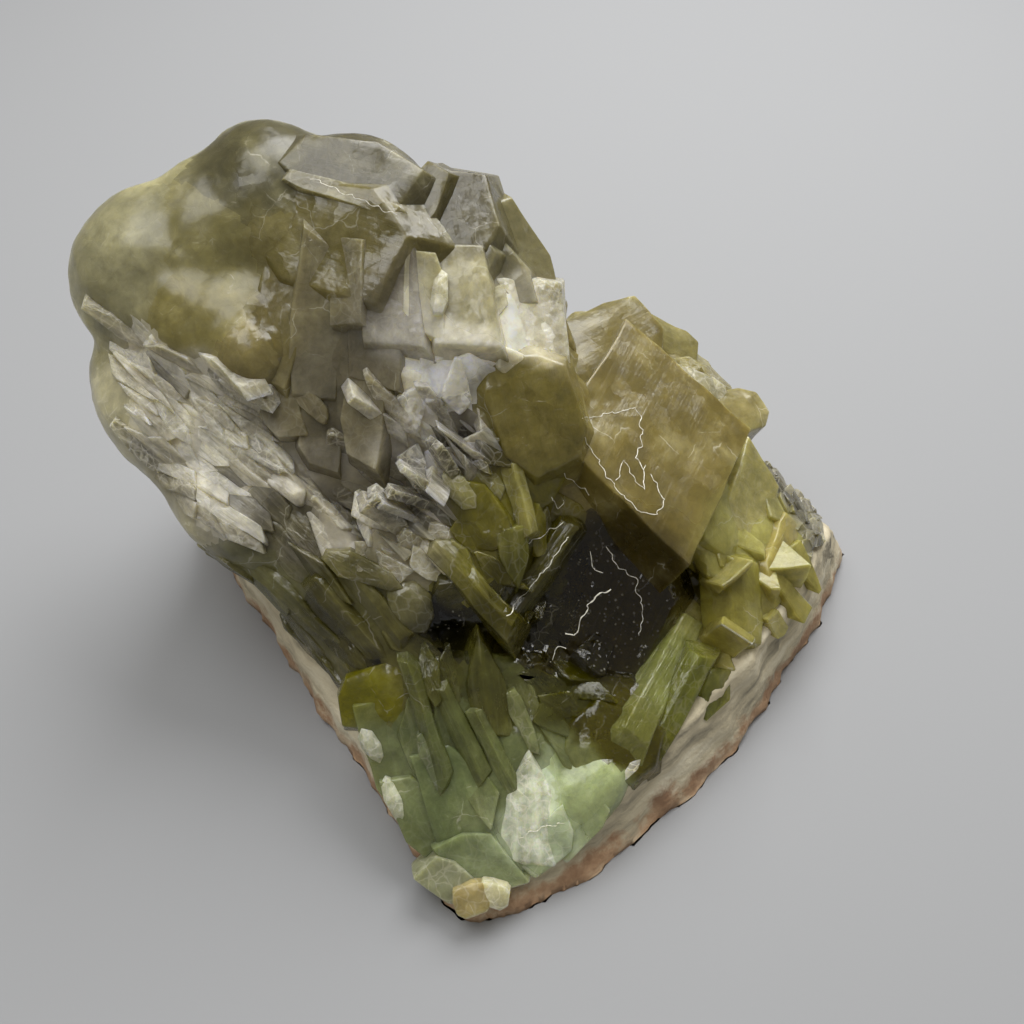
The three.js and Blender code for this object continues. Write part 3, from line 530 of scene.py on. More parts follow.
for name, plane, across, up, above, long, wide, turn, rise, roll, habit, tint, milk, frost in [
    # the head: large, low facets that run into one another
    ("ridge plate", SLOPE, -34, 19, 3.0, 32, 22, -22, 4, 8, "facet", "#8a8156", 0.45, 0),
    # a pale strip along the ridge plate's top edge: partly pale streaks, partly painted highlight
    ("ridge edge glint", SLOPE, -33, 28, 2.0, 26, 4, -20, 2, -20, "facet", "#a8a38a", 0.6, 0.1),
    # the cloudy cap and nose tints are darkened against the window's light on these up- and
    # back-facing faces: painted shade
    ("cloudy cap", SLOPE, -31, 34, 0.2, 28, 13, -12, 0, -8, "facet", "#635e48", 0.65, 0.02),
    ("cap corner", SLOPE, -19, 30, 0.1, 12, 9, -30, 0, -6, "facet", "#8b8468", 0.6, 0),
    ("nose", SLOPE, -9, 26, 3.0, 20, 14, 100, -8, -8, "facet", "#665f45", 0.45, 0),
    ("nose flank", SLOPE, -17, 28, 2.5, 15, 7, 72, 0, -24, "facet", "#857f63", 0.5, 0.03),
    ("nose foot", SLOPE, -9, 16, 1.5, 16, 11, -10, 10, 0, "facet", "#8a8469", 0.4, 0),
    ("right crest", SLOPE, 4, 19, 1.0, 24, 11, -58, -2, -6, "facet", "#8b8568", 0.5, 0),
    ("crest shadow", SLOPE, 0, 14, 1.0, 18, 8, -56, 0, 14, "facet", "#7f7a62", 0.35, 0),
    ("crest lip", SLOPE, 6, 3, 1.5, 17, 15, 98, 0, 0, "rhomb", "#e6e2ce", 0.7, 0.4),
    ("clear prism", SLOPE, -24, 9, 3.0, 23, 12, 96, -3, -6, "rhomb", "#aba493", 0.35, 0.08),
    ("prism side", SLOPE, -32, 10, 2.5, 18, 7, 90, 0, -22, "rhomb", "#aaa48f", 0.4, 0.08),
    ("prism foot", SLOPE, -27, -3, 1.5, 17, 11, 90, 4, -8, "rhomb", "#968f7e", 0.4, 0.02),
    ("pale block", SLOPE, -9, 7, 2.5, 25, 13, 100, -2, -6, "rhomb", "#c4bea3", 0.5, 0.05),
    ("pale lobe", SLOPE, -16, 7, 4.0, 17, 8, 90, 0, 8, "chipped", "#cdc8aa", 0.6, 0.08),
    ("bright tongue", SLOPE, -13, 7, 5.0, 9, 4, 84, -4, 0, "blade", "#ece8d2", 0.7, 0.25),
    ("middle fold", SLOPE, -46, 4, 0.4, 30, 11, 76, 0, -8, "chipped", "#8f8661", 0.5, 0),
    ("brown facet", SLOPE, -38, 2, 1.5, 30, 11, 80, 0, 10, "chipped", "#a29c88", 0.45, 0),
    ("brown facet right", SLOPE, -29, -14, 1.5, 24, 9, 82, 0, -8, "chipped", "#9d967f", 0.5, 0.05),
    ("low brown facet", SLOPE, -38, -18, 1.0, 22, 9, 84, 0, 8, "chipped", "#857e6a", 0.45, 0),
    ("low facet", SLOPE, -47, -14, 0.6, 16, 9, -74, 4, 0, "chipped", "#98917a", 0.55, 0.06),
    # the left side
    ("upper lozenge", SLOPE, -29, -50, 1.5, 17, 6, -24, 0, 0, "blade", "#a59f72", 0.35, 0.05),
    ("clear lozenge", SLOPE, -20, -57, 2.0, 13, 9, -62, 0, 0, "lump", "#b0ac86", 0.35, 0.12),
    ("second lozenge", SLOPE, -27, -57, 1.5, 21, 5, -52, 0, 8, "prism", "#827d52", 0.3, 0),
    ("long lozenge", SLOPE, -32, -61, 1.0, 24, 7, -50, 0, -8, "prism", "#726d3e", 0.25, 0),
    ("outer lozenge", SLOPE, -46, -56, 0.5, 30, 7, -42, 0, -10, "prism", "#78764e", 0.35, 0),
    # the middle
    ("olive block", SLOPE, 6, -17, 5.0, 25, 18, -76, 3, 4, "block", "#aca16f", 0.4, 0),
    ("olive foot", SLOPE, 7, -31, 1.0, 13, 9, -28, -6, 0, "block", "#98914a", 0.4, 0),
    ("upright blade", SLOPE, 3, -36, 3.0, 17, 6, -78, 0, 4, "prism", "#ccc68c", 0.4, 0.1),
    ("left blade", SLOPE, -5, -38, 2.0, 16, 9, -58, 0, 6, "block", "#8a8334", 0.3, 0.03),
    ("hooked blade", SLOPE, -9, -33, 3.0, 9, 5, -60, 0, 0, "blade", "#c4c096", 0.5, 0.2),
    ("right blade", SLOPE, 12, -37, 1.5, 13, 6, -30, -8, 0, "block", "#9a9454", 0.35, 0.08),
    ("left of the V", SLOPE, -6, -53, 4.5, 24, 7, -48, 0, -14, "prism", "#827d40", 0.3, 0.04),
    ("middle of the V", SLOPE, 2, -47, 2.0, 13, 7, -84, 0, 0, "tooth", "#a0a05e", 0.4, 0.08),
    ("right of the V", SLOPE, 8, -51, 4.5, 26, 8, 52, -4, 10, "prism", "#6b6628", 0.25, 0),
    ("ribbed lens", SLOPE, -9, -49, 2.5, 12, 6, -58, 0, 0, "blade", "#a8a46c", 0.4, 0.16),
    # near-black pieces sunk into the surface: painted shade in small pockets
    ("painted shade lens", SLOPE, -12, -62, -1.0, 22, 9, 84, 0, 0, "block", "#0a0804", 0.05, 0),
    ("painted shade notch", SLOPE, -27, -70, -0.5, 9, 5, 80, 0, 0, "block", "#0c0a05", 0.05, 0),
    # the hollow
    # the hollow floor's near-black olive is partly the glass's own colour, partly painted shade in
    # the hollow
    ("hollow floor", SLOPE, 22, -60, 0.5, 34, 25, 62, 0, 0, "chipped", "#372b0c", 0.1, 0),
    ("hollow rim", SLOPE, 6, -66, 0.5, 24, 6, 66, 0, -8, "block", "#3d3818", 0.25, 0.12),
    # the front corner
    ("pointed tooth", SLOPE, -4, -74, 2.0, 22, 9, 98, 0, 0, "tooth", "#7a763c", 0.2, 0),
    ("olive corner", SLOPE, -27, -77, 1.5, 15, 12, 14, -4, 0, "block", "#807c2a", 0.5, 0),
    ("left prism", SLOPE, -16, -82, 2.0, 28, 5, -74, 0, 0, "prism", "#8b9160", 0.3, 0.04),
    ("clear needle", SLOPE, -15, -90, 3.0, 13, 3, -72, 0, 0, "blade", "#b9c19e", 0.3, 0.15),
    ("middle prism", SLOPE, -9, -84, 1.5, 24, 6, -66, 0, 0, "prism", "#83875a", 0.3, 0),
    ("right prism", SLOPE, -2, -88, 1.5, 20, 5, -64, 0, 0, "prism", "#8b9064", 0.35, 0.03),
    ("needle end", SLOPE, 4, -82, 2.0, 13, 4, -66, 0, 0, "blade", "#a9ae88", 0.35, 0.1),
    ("olive glass", SLOPE, 24, -87, 1.5, 20, 14, -18, -4, 0, "block", "#625d08", 0.2, 0),
    ("knife crystal", SLOPE, 34, -75, 2.5, 34, 11, 58, -4, -10, "prism", "#c0c68a", 0.45, 0.05),
    ("knife foot", SLOPE, 38, -80, 0.5, 26, 8, 56, 0, -10, "prism", "#8a8f4c", 0.35, 0.1),
    # the right block
    ("yellow block", RIGHT_SIDE, -2, 10, 2.0, 18, 12, 30, 0, 0, "block", "#bbb87a", 0.5, 0),
    ("striated block", RIGHT_SIDE, 10, 5, 2.0, 22, 13, 4, 3, 0, "rhomb", "#c6be90", 0.55, 0.05),
    ("amber foot", RIGHT_SIDE, 4, -8, 1.5, 18, 8, 4, 0, 0, "block", "#bbac78", 0.5, 0),
    ("right foot", RIGHT_SIDE, -14, -5, 1.5, 20, 10, 40, 0, 0, "block", "#a39e58", 0.45, 0),
    ("frosted seam", RIGHT_TOP, 23, -5, 1.5, 16, 6, -60, -4, 0, "block", "#d0ccb2", 0.7, 0.35),
    ("grey lobe", RIGHT_TOP, 27, 8, 1.0, 20, 12, -64, -4, 4, "block", "#9c9568", 0.6, 0.02),
    ("grey druse", RIGHT_SIDE, 27, -6, 1.0, 10, 8, 20, 0, 0, "lump", "#7f7a68", 0.85, 0.15),
    ("black speck", RIGHT_SIDE, 22, -11, 1.0, 7, 3.5, 60, 0, 0, "block", "#3a3832", 0.6, 0.1),
]:
    crystal(name, rest(plane, across, up, 0.6 * above), long, wide, turn, rise, roll, habit,
            tint=tint, milk=milk, frost=frost)

# The front corner is one broad, flat face: its crystals lie level with each other.
for name, across, up, proud, long, wide, turn, habit, tint, milk, frost in [
    ("mint corner", -24, -89, -4.0, 22, 10, -76, "chipped", "#8f966c", 0.55, 0),
    ("low corner", -18, -102, -2.6, 17, 9, -66, "chipped", "#929a76", 0.6, 0.03),
    ("broad face", -10, -100, -1.6, 26, 13, -74, "chipped", "#7f8a66", 0.6, 0),
    ("low mint", -5, -111, 0.2, 15, 12, -50, "chipped", "#98a380", 0.6, 0.04),
    ("crackled fan", 5, -99, -2.2, 26, 14, 88, "tooth", "#ecf1de", 0.8, 0.4),
    ("crackled foot", 9, -107, -1.0, 14, 9, 40, "chipped", "#b7c2a0", 0.7, 0.15),
    ("right mint", 16, -104, -2.4, 15, 7, 42, "chipped", "#a3ad86", 0.6, 0.04),
    ("bright rim", 25, -94, -4.5, 11, 3, 46, "lump", "#f8f8ee", 0.9, 0.6),
    ("white patch", -28, -87, -3.6, 8, 4, -64, "lump", "#f4f6e4", 0.9, 0.4),
    ("low white patch", -23, -98, -2.4, 10, 4, -70, "lump", "#f0f3de", 0.9, 0.4),
    ("grey tip", -11, -114, 1.2, 12, 8, -40, "chipped", "#a3a08c", 0.8, 0.15),
    ("rusty chip", -7, -117, 3.4, 8, 7, 20, "block", "#b6976a", 0.9, 0.1),
    ("white chip", -2, -116, 3.2, 7, 5, -20, "block", "#e4d9bd", 0.9, 0.3),
]:
    crystal(name, on(SLOPE, across, up, proud), long, wide, turn, 0, 0, habit, 7, tint=tint,
            milk=milk, frost=frost, flare=1.1)

# The large tan block has a flat, tilted top of its own, with a lower shoulder behind it.
crystal("tan rhomb", on(RIGHT_TOP, -6, -3, 3.4), 42, 38, 8, 0, 0, "rhomb", 22,
        tint="#72663e", milk=0.75, flare=1.08, uneven=0.02, headroom=20)
crystal("rhomb shoulder", on(RIGHT_TOP, 6, 19, 1), 38, 20, -16, 0, -3, "block", 18,
        tint="#746a44", milk=0.75, flare=1.1)
crystal("rhomb corner", on(RIGHT_TOP, -17, 21, 1), 10, 10, 20, 0, -4, "lump", 14,
        tint="#7f7550", milk=0.75, flare=1.1)
crystal("far right lobe", on(RIGHT_TOP, 25, -17, -6), 18, 12, -30, 0, 0, "block", 12,
        tint="#aaa27c", milk=0.65, flare=1.1)

# ------------------------------------------------------------------ the crust of crystals
# Over the massive calcite the crystals fit against each other with hardly a gap: each fills
# the ground nearer to its middle than to any other, in its part's size and direction.
sites = []
taken = {}
BLOCK = 8 * MM  # the sites are looked up by the 8 mm block that they are in
SMOOTH_SITE = 9 * MM  # how far apart they are where the calcite is smooth
SIDES = 7
OVERLAP, FOOT_OVERLAP = 1.13, 1.3  # crystals reach a little into each other, more so below
CLEAVAGE_WAYS = (25, 145, 265)
for vertex in random.sample(list(massive.data.vertices), len(massive.data.vertices)):
    habit = habit_at(vertex.co)
    size, long, grain = habit.size, habit.long, habit.grain
    if vertex.co.z < rock_level(vertex.co) + 1.5 * MM:
        continue
    bare = size == 0 or any(covers(vertex.co) for covers in footprints)
    size = (size or SMOOTH_SITE) * random.uniform(0.6, 1.35)
    grain = Matrix.Rotation(math.radians(random.gauss(0, 9)), 3, vertex.normal) @ grain
    block = tuple(math.floor(c / BLOCK) for c in vertex.co)
    place = frame_at(vertex.co, vertex.normal, grain)
    back = place.inverted()
    reach = math.ceil(size * long / BLOCK)
    steps = range(-reach, reach + 1)
    crowd = (other for i in steps for j in steps for k in steps
             for other in taken.get((block[0] + i, block[1] + j, block[2] + k), ()))
    if all(Vector(((at := back @ other).x / long, at.y, at.z)).length > 0.8 * size
           for other in crowd):
        sites.append((vertex.co.copy(), place, habit, bare))
        taken.setdefault(block, []).append(vertex.co.copy())
tree = KDTree(len(sites))
for number, site in enumerate(sites):
    tree.insert(site[0], number)
tree.balance()
for number, (spot, place, habit, bare) in enumerate(sites):
    if bare:
        continue
    size, long, grain, tilt, lift, tints, milk, frost = habit[2:]
    back = place.inverted()
    outline = [Vector((math.cos(i * math.tau / SIDES), math.sin(i * math.tau / SIDES)))
               * 0.8 * size for i in range(SIDES)]
    for other, _, _ in tree.find_range(spot, 2 * size * long):
        at = back @ other
        offset = Vector((at.x / long, at.y))
        if 0.1 * size < offset.length < 2 * size and abs(at.z) < 1.5 * size:
            outline = trim(outline, offset)
    if len(outline) < 3:
        continue
    # its face tips one of the three ways that calcite cleaves
    way = math.radians(random.choice(CLEAVAGE_WAYS))
    axis = Vector((math.cos(way), math.sin(way) / long, 0))
    lean = place @ Matrix.Rotation(math.radians(tilt * random.uniform(0.3, 1.5)), 4, axis)
    top = lift + random.uniform(-0.06, 0.1) * size
    floor = rock_level(spot)
    corners = []
    for corner in outline:
        corners.append(lean @ Vector((corner.x * long * OVERLAP, corner.y * OVERLAP, top)))
        corners.append(place @ Vector((corner.x * long * FOOT_OVERLAP, corner.y * FOOT_OVERLAP,
                                       -0.7 * size - 3 * MM)))
    if random.random() < 0.4:
        peak = random.choice(outline) * 0.5
        corners.append(lean @ Vector((peak.x * long, peak.y, top + random.uniform(0.05, 0.2) * size)))
    for corner in corners:
        corner.z = max(corner.z, floor)
    wear = min(0.3, 0.045 * size / MM)
    close(f"crust {number}", corners, random.choice(tints), milk + random.uniform(-0.15, 0.15),
          frost * random.uniform(0, 1.6), grain, min(1, 0.15 + (long - 1) / 3), wear, 0.6)
print("crust sites", len(sites), "of which bare", sum(site[3] for site in sites))

# ------------------------------------------------------------------ one grown mass
# The massive calcite, its crust and its large crystals grew as one body. They overlap, so
# they are joined into a single closed solid, whose skin is then divided and bent a little.
calcite = massive
grown.objects.unlink(calcite)
bpy.context.scene.collection.objects.link(calcite)
calcite.name = "green_calcite"
only(calcite)
join = calcite.modifiers.new("grown together", "BOOLEAN")
join.operand_type = "COLLECTION"
join.collection = grown
join.operation = "UNION"
join.solver = "MANIFOLD"
bpy.ops.object.modifier_apply(modifier=join.name)
for member in list(grown.objects):
    bpy.data.objects.remove(member)
bpy.data.collections.remove(grown)
# No edge is left longer than 4 mm, so that the colours can change within a crystal, and
# the faces are bent a little, as grown faces are.
LONGEST_EDGE = 4 * MM
shape = bmesh.new()
shape.from_mesh(calcite.data)
bmesh.ops.triangulate(shape, faces=shape.faces)
for turn in range(4):
    long_edges = [edge for edge in shape.edges if edge.calc_length() > LONGEST_EDGE]
    bmesh.ops.subdivide_edges(shape, edges=long_edges, cuts=1)
    bmesh.ops.triangulate(shape, faces=[face for face in shape.faces if len(face.verts) > 3])


def wander(spot, wavelength, size):
    """A small shift, in millimetres, that changes smoothly from place to place."""
    at = spot / (wavelength * MM)
    return Vector((noise(at), noise(at + Vector((31, 0, 0))), noise(at + Vector((0, 47, 0))))) * (
        size * MM)


for vertex in shape.verts:
    vertex.co += wander(vertex.co, 11, 0.6) + wander(vertex.co, 3.5, 0.15)
shape.to_mesh(calcite.data)
shape.free()
only(calcite)
bpy.ops.object.shade_smooth_by_angle(angle=math.radians(24))
print("calcite faces", len(calcite.data.polygons))

# The colour of the ground changes smoothly from part to part, under each crystal's own.
middles = numpy.array([part.middle for part in regions])
reaches = numpy.array([part.reach for part in regions])
part_colours = numpy.array([numpy.mean([from_hex(tint) for tint in part.tints], axis=0)
                            for part in regions])
part_milks = numpy.array([part.milk for part in regions])
spots = numpy.array([vertex.co + wander(vertex.co, 16, 5) + wander(vertex.co, 5, 2)
                     for vertex in calcite.data.vertices])
gaps = numpy.sqrt(numpy.maximum((spots ** 2).sum(axis=1)[:, None] - 2 * spots @ middles.T
                                + (middles ** 2).sum(axis=1), 0)) / reaches
shares = numpy.exp(-9 * (gaps - gaps.min(axis=1)[:, None]))
shares /= shares.sum(axis=1)[:, None]
calcite.data.attributes.new("ground", "FLOAT_COLOR", "POINT")
calcite.data.attributes.new("ground_milk", "FLOAT", "POINT")
calcite.data.attributes["ground"].data.foreach_set("color", (shares @ part_colours).ravel())
calcite.data.attributes["ground_milk"].data.foreach_set("value", shares @ part_milks)


def add_node(tree, kind, settings=(), links=()):
    """Adds a shader node, sets its sockets or properties, and links the rest."""
    node = tree.nodes.new(kind)
    for key, value in dict(settings).items():
        if isinstance(key, int) or key in node.inputs:
            node.inputs[key].default_value = value
        else:
            setattr(node, key, value)
    for key, source in dict(links).items():
        tree.links.new(source, node.inputs[key])
    return node


def make_calcite():
    """Cleaved calcite: glassy where it is clear, waxy where it is milky, white where broken."""
    material = bpy.data.materials.new("green_calcite_cleaved")
    material.use_nodes = True
    tree = material.node_tree
    shader = tree.nodes["Principled BSDF"]
    output = tree.nodes["Material Output"]
    place = add_node(tree, "ShaderNodeTexCoord").outputs["Object"]
    own_tint, ground, grain = (
        add_node(tree, "ShaderNodeAttribute", {"attribute_name": name}).outputs["Color"]
        for name in ("tint", "ground", "grain"))
    own_milk, ground_milk, frost, wear_and_glint, streaks = (
        add_node(tree, "ShaderNodeAttribute", {"attribute_name": name}).outputs["Fac"]
        for name in ("milk", "ground_milk", "frost", "wear_and_glint", "streaks"))
    tint = add_node(tree, "ShaderNodeMix", {"data_type": "RGBA", 0: 0.5},
                    {6: ground, 7: own_tint}).outputs[2]
    milk = add_node(tree, "ShaderNodeMix", {0: 0.5}, {2: ground_milk, 3: own_milk}).outputs[0]

    def math_node(operation, first, second, clamp=False):
        node = add_node(tree, "ShaderNodeMath", {"operation": operation, "use_clamp": clamp})
        for key, value in ((0, first), (1, second)):
            if isinstance(value, (int, float)):
                node.inputs[key].default_value = value
            else:
                tree.links.new(value, node.inputs[key])
        return node.outputs["Value"]

    # milky clouds about 12 mm across, only where the calcite is milky
    cloud = add_node(tree, "ShaderNodeTexNoise", {"Scale": 85, "Detail": 6, "Roughness": 0.62},
                     {"Vector": place}).outputs["Fac"]
    cloudiness = add_node(tree, "ShaderNodeMapRange",
                          {"From Min": 0.38, "From Max": 0.68, "To Min": -0.2, "To Max": 0.28},
                          {"Value": cloud}).outputs["Result"]
    clouds = math_node("MULTIPLY", cloudiness, milk)
    milky = math_node("ADD", milk, clouds, True)
    # healed cracks: a wavering net of fine white lines, broken off here and there
    waver = add_node(tree, "ShaderNodeTexNoise", {"Scale": 140, "Detail": 3},
                     {"Vector": place}).outputs["Color"]
    wavering = add_node(tree, "ShaderNodeVectorMath", {"operation": "MULTIPLY_ADD", 1: (0.006,) * 3},
                        {0: waver, 2: place}).outputs["Vector"]
    net = add_node(tree, "ShaderNodeTexVoronoi", {"feature": "DISTANCE_TO_EDGE", "Scale": 110},
                   {"Vector": wavering}).outputs["Distance"]
    line = add_node(tree, "ShaderNodeMapRange",
                    {"From Min": 0.018, "From Max": 0.004, "To Max": 0.35}, {"Value": net})
    broken = add_node(tree, "ShaderNodeMapRange", {"From Min": 0.54, "From Max": 0.62},
                      {"Value": cloud})
    cracked = math_node("MULTIPLY", line.outputs["Result"], broken.outputs["Result"])
    # a finer net where the calcite is crackled, and white specks on clear calcite: partly dust and
    # fresh breaks, partly painted sparkle
    fine_net = add_node(tree, "ShaderNodeTexVoronoi",
                        {"feature": "DISTANCE_TO_EDGE", "Scale": 330},
                        {"Vector": wavering}).outputs["Distance"]
    crackle = add_node(tree, "ShaderNodeMapRange",
                       {"From Min": 0.07, "From Max": 0.015, "To Max": 1.6}, {"Value": fine_net})
    crackled = math_node("MULTIPLY", crackle.outputs["Result"], frost, True)
    dots = add_node(tree, "ShaderNodeTexVoronoi", {"Scale": 750}, {"Vector": place})
    speck_and_sparkle = add_node(tree, "ShaderNodeMapRange",
                     {"From Min": 0.24, "From Max": 0.12, "To Max": 0.6},
                     {"Value": dots.outputs["Distance"]}).outputs["Result"]
    clear = math_node("SUBTRACT", 0.9, math_node("MULTIPLY", milk, 4), True)
    specks_and_sparkle = math_node("MULTIPLY", speck_and_sparkle, clear)
    # growth streaks about 1 mm wide along each crystal's grain
    along = add_node(tree, "ShaderNodeVectorMath", {"operation": "DOT_PRODUCT"},
                     {0: place, 1: grain}).outputs["Value"]
    shortened = add_node(tree, "ShaderNodeVectorMath", {"operation": "SCALE"},
                         {0: grain, 3: math_node("MULTIPLY", along, -0.93)}).outputs["Vector"]
    drawn_out = add_node(tree, "ShaderNodeVectorMath", {"operation": "ADD"},
                         {0: place, 1: shortened}).outputs["Vector"]
    fibres = add_node(tree, "ShaderNodeTexNoise", {"Scale": 620, "Detail": 4, "Roughness": 0.6},
                      {"Vector": drawn_out}).outputs["Fac"]
    pale_fibres = add_node(tree, "ShaderNodeMapRange",
                           {"From Min": 0.56, "From Max": 0.72, "To Max": 0.6},
                           {"Value": fibres}).outputs["Result"]
    pale_fibres = math_node("MULTIPLY", math_node("MULTIPLY", pale_fibres, streaks), milk)
    fibre_shade = add_node(tree, "ShaderNodeMapRange",
                           {"From Min": 0.3, "From Max": 0.7, "To Min": 0.62, "To Max": 1.3},
                           {"Value": fibres}).outputs["Result"]
    # frost: broken, whitish surface in grains of about 1 mm
    grains = add_node(tree, "ShaderNodeTexNoise", {"Scale": 900, "Detail": 4, "Roughness": 0.6},
                      {"Vector": place}).outputs["Fac"]
    frosted = add_node(tree, "ShaderNodeMapRange",
                       {"From Min": 0.8, "From Max": 1.2, "To Max": 0.8},
                       {"Value": math_node("ADD", grains, frost)}).outputs["Result"]
    # the rounded edges are painted pale, partly as wear and partly as painted highlight, broken up by
    # the same grains
    chipping_and_glint = add_node(tree, "ShaderNodeMapRange",
                        {"From Min": 0.35, "From Max": 0.6, "To Min": 0.15, "To Max": 0.75},
                        {"Value": grains}).outputs["Result"]
    white = math_node("MAXIMUM", frosted, math_node("MULTIPLY", wear_and_glint, chipping_and_glint))
    # the pits follow only this, so that a bump needn't work out every crack and speck again
    pits = math_node("MULTIPLY", grains, white)
    for lines in (cracked, pale_fibres, crackled, specks_and_sparkle):
        white = math_node("MAXIMUM", white, lines)
    cloudy_tint = add_node(tree, "ShaderNodeMix", {"data_type": "RGBA", 7: from_hex("#d3cfae")},
                           {0: clouds, 6: tint}).outputs[2]
    mottle = add_node(tree, "ShaderNodeTexNoise", {"Scale": 270, "Detail": 8, "Roughness": 0.72},
                      {"Vector": wavering}).outputs["Fac"]
    mottling = add_node(tree, "ShaderNodeMapRange",
                        {"From Min": 0.3, "From Max": 0.7, "To Min": 0.74, "To Max": 1.26},
                        {"Value": mottle}).outputs["Result"]
    shaded = add_node(tree, "ShaderNodeMix", {2: 1.0}, {0: streaks, 3: fibre_shade}).outputs[0]
    stronger = add_node(tree, "ShaderNodeHueSaturation", {"Saturation": 1.25},
                        {"Color": cloudy_tint,
                         "Value": math_node("MULTIPLY", shaded, mottling)}).outputs["Color"]
    colour = add_node(tree, "ShaderNodeMix", {"data_type": "RGBA", 7: from_hex("#f2eedd")},
                      {0: white, 6: stronger}).outputs[2]
    tree.links.new(colour, shader.inputs["Base Color"])
    clarity = add_node(tree, "ShaderNodeMapRange", {"To Min": 0.95, "To Max": 0.0},
                       {"Value": math_node("MAXIMUM", milky, white)}).outputs["Result"]
    tree.links.new(clarity, shader.inputs["Transmission Weight"])
    rough = add_node(tree, "ShaderNodeMapRange", {"To Min": 0.07, "To Max": 0.38},
                     {"Value": math_node("MAXIMUM", math_node("MULTIPLY", white, 0.7), milk)})
    tree.links.new(rough.outputs["Result"], shader.inputs["Roughness"])
    shader.inputs["IOR"].default_value = 1.5
    shader.inputs["Subsurface Weight"].default_value = 1
    shader.inputs["Subsurface Radius"].default_value = (1, 0.95, 0.6)
    shader.inputs["Subsurface Scale"].default_value = 0.004

    def cleavage(scale, steepness):
        """Height of a patchwork of small flat faces, each tilted its own way."""
        cells = add_node(tree, "ShaderNodeTexVoronoi", {"Scale": scale, "Randomness": 1},
                         {"Vector": wavering})
        away = add_node(tree, "ShaderNodeVectorMath", {"operation": "SUBTRACT"},
                        {0: wavering, 1: cells.outputs["Position"]}).outputs["Vector"]
        tilt = add_node(tree, "ShaderNodeVectorMath",
                        {"operation": "SUBTRACT", 1: (0.5, 0.5, 0.5)},
                        {0: cells.outputs["Color"]}).outputs["Vector"]
        height = add_node(tree, "ShaderNodeVectorMath", {"operation": "DOT_PRODUCT"},
                          {0: away, 1: tilt}).outputs["Value"]
        return math_node("MULTIPLY", height, steepness)

    # small cleavage faces of about 5 mm, and of 1.5 mm where the calcite is broken
    broadness = math_node("SUBTRACT", 0.9, milk, True)
    broad = math_node("MULTIPLY", cleavage(190, 0.4), broadness)
    fine = math_node("MULTIPLY", cleavage(650, 1.1),
                     math_node("ADD", frost, math_node("MULTIPLY", broadness, 0.12)))
    ribs = math_node("MULTIPLY", math_node("MULTIPLY", fibres, streaks), 0.0009)
    relief = add_node(tree, "ShaderNodeBump", {"Strength": 1, "Distance": 1},
                      {"Height": math_node("ADD", math_node("ADD", broad, fine), ribs)})
    pitted = add_node(tree, "ShaderNodeBump", {"Strength": 0.6, "Distance": 0.0004},
                      {"Height": pits,
                       "Normal": relief.outputs["Normal"]})
    tree.links.new(pitted.outputs["Normal"], shader.inputs["Normal"])
    absorb = add_node(tree, "ShaderNodeVolumeAbsorption",
                      {"Color": from_hex("#b9b23c"), "Density": 60})
    tree.links.new(absorb.outputs["Volume"], output.inputs["Volume"])
    return material


calcite.data.materials.clear()
calcite.data.materials.append(make_calcite())
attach(calcite, "root")
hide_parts("crystal_mass")

# ------------------------------------------------------------------ bright crack lines and painted glints
# Thin healed cracks and fresh chip edges stand out white on the tan rhomb, the V and the
# glassy hollow, and the same white lines are painted highlight for the glints of step edges.
# Each runs over the calcite along a few places, wavering as it goes.
calcite_skin = BVHTree.FromObject(calcite, bpy.context.evaluated_depsgraph_get())


CRACK_STEP = 0.4
CRACK_SWAY, CRACK_WAVELENGTH = 0.9, 1.6


def crack_glint(plane, places, thick):
    """Lays one uneven line, thick in radius, on the calcite through places on a plane."""
    out = plane.to_3x3().col[2]
    route = []
    for start, end in zip(places, places[1:]):
        count = max(2, round(math.dist(start, end) / CRACK_STEP))
        for step in range(count):
            across, up = (a + (b - a) * step / count for a, b in zip(start, end))
            waver = CRACK_SWAY * noise(Vector((across, up, 0)) / CRACK_WAVELENGTH)
            sway = CRACK_SWAY * noise(Vector((across, up, 9)) / CRACK_WAVELENGTH)
            route.append((across + waver, up + sway))
    line = bpy.data.curves.new("crack_glint", "CURVE")
    line.dimensions = "3D"
    line.bevel_depth = thick * MM
    line.bevel_resolution = 1
    line.use_fill_caps = True
    spots = []
    for across, up in route:
        hit = calcite_skin.ray_cast(on(plane, across, up, FAR_OUT).translation, -out)[0]
        if hit:
            spots.append(hit)
    spline = line.splines.new("POLY")
    spline.points.add(len(spots) - 1)
    for point, spot in zip(spline.points, spots):
        point.co = (*spot, 1)
        point.radius = random.uniform(0.3, 1.2)
    return bpy.data.objects.new("crack_glint", line)


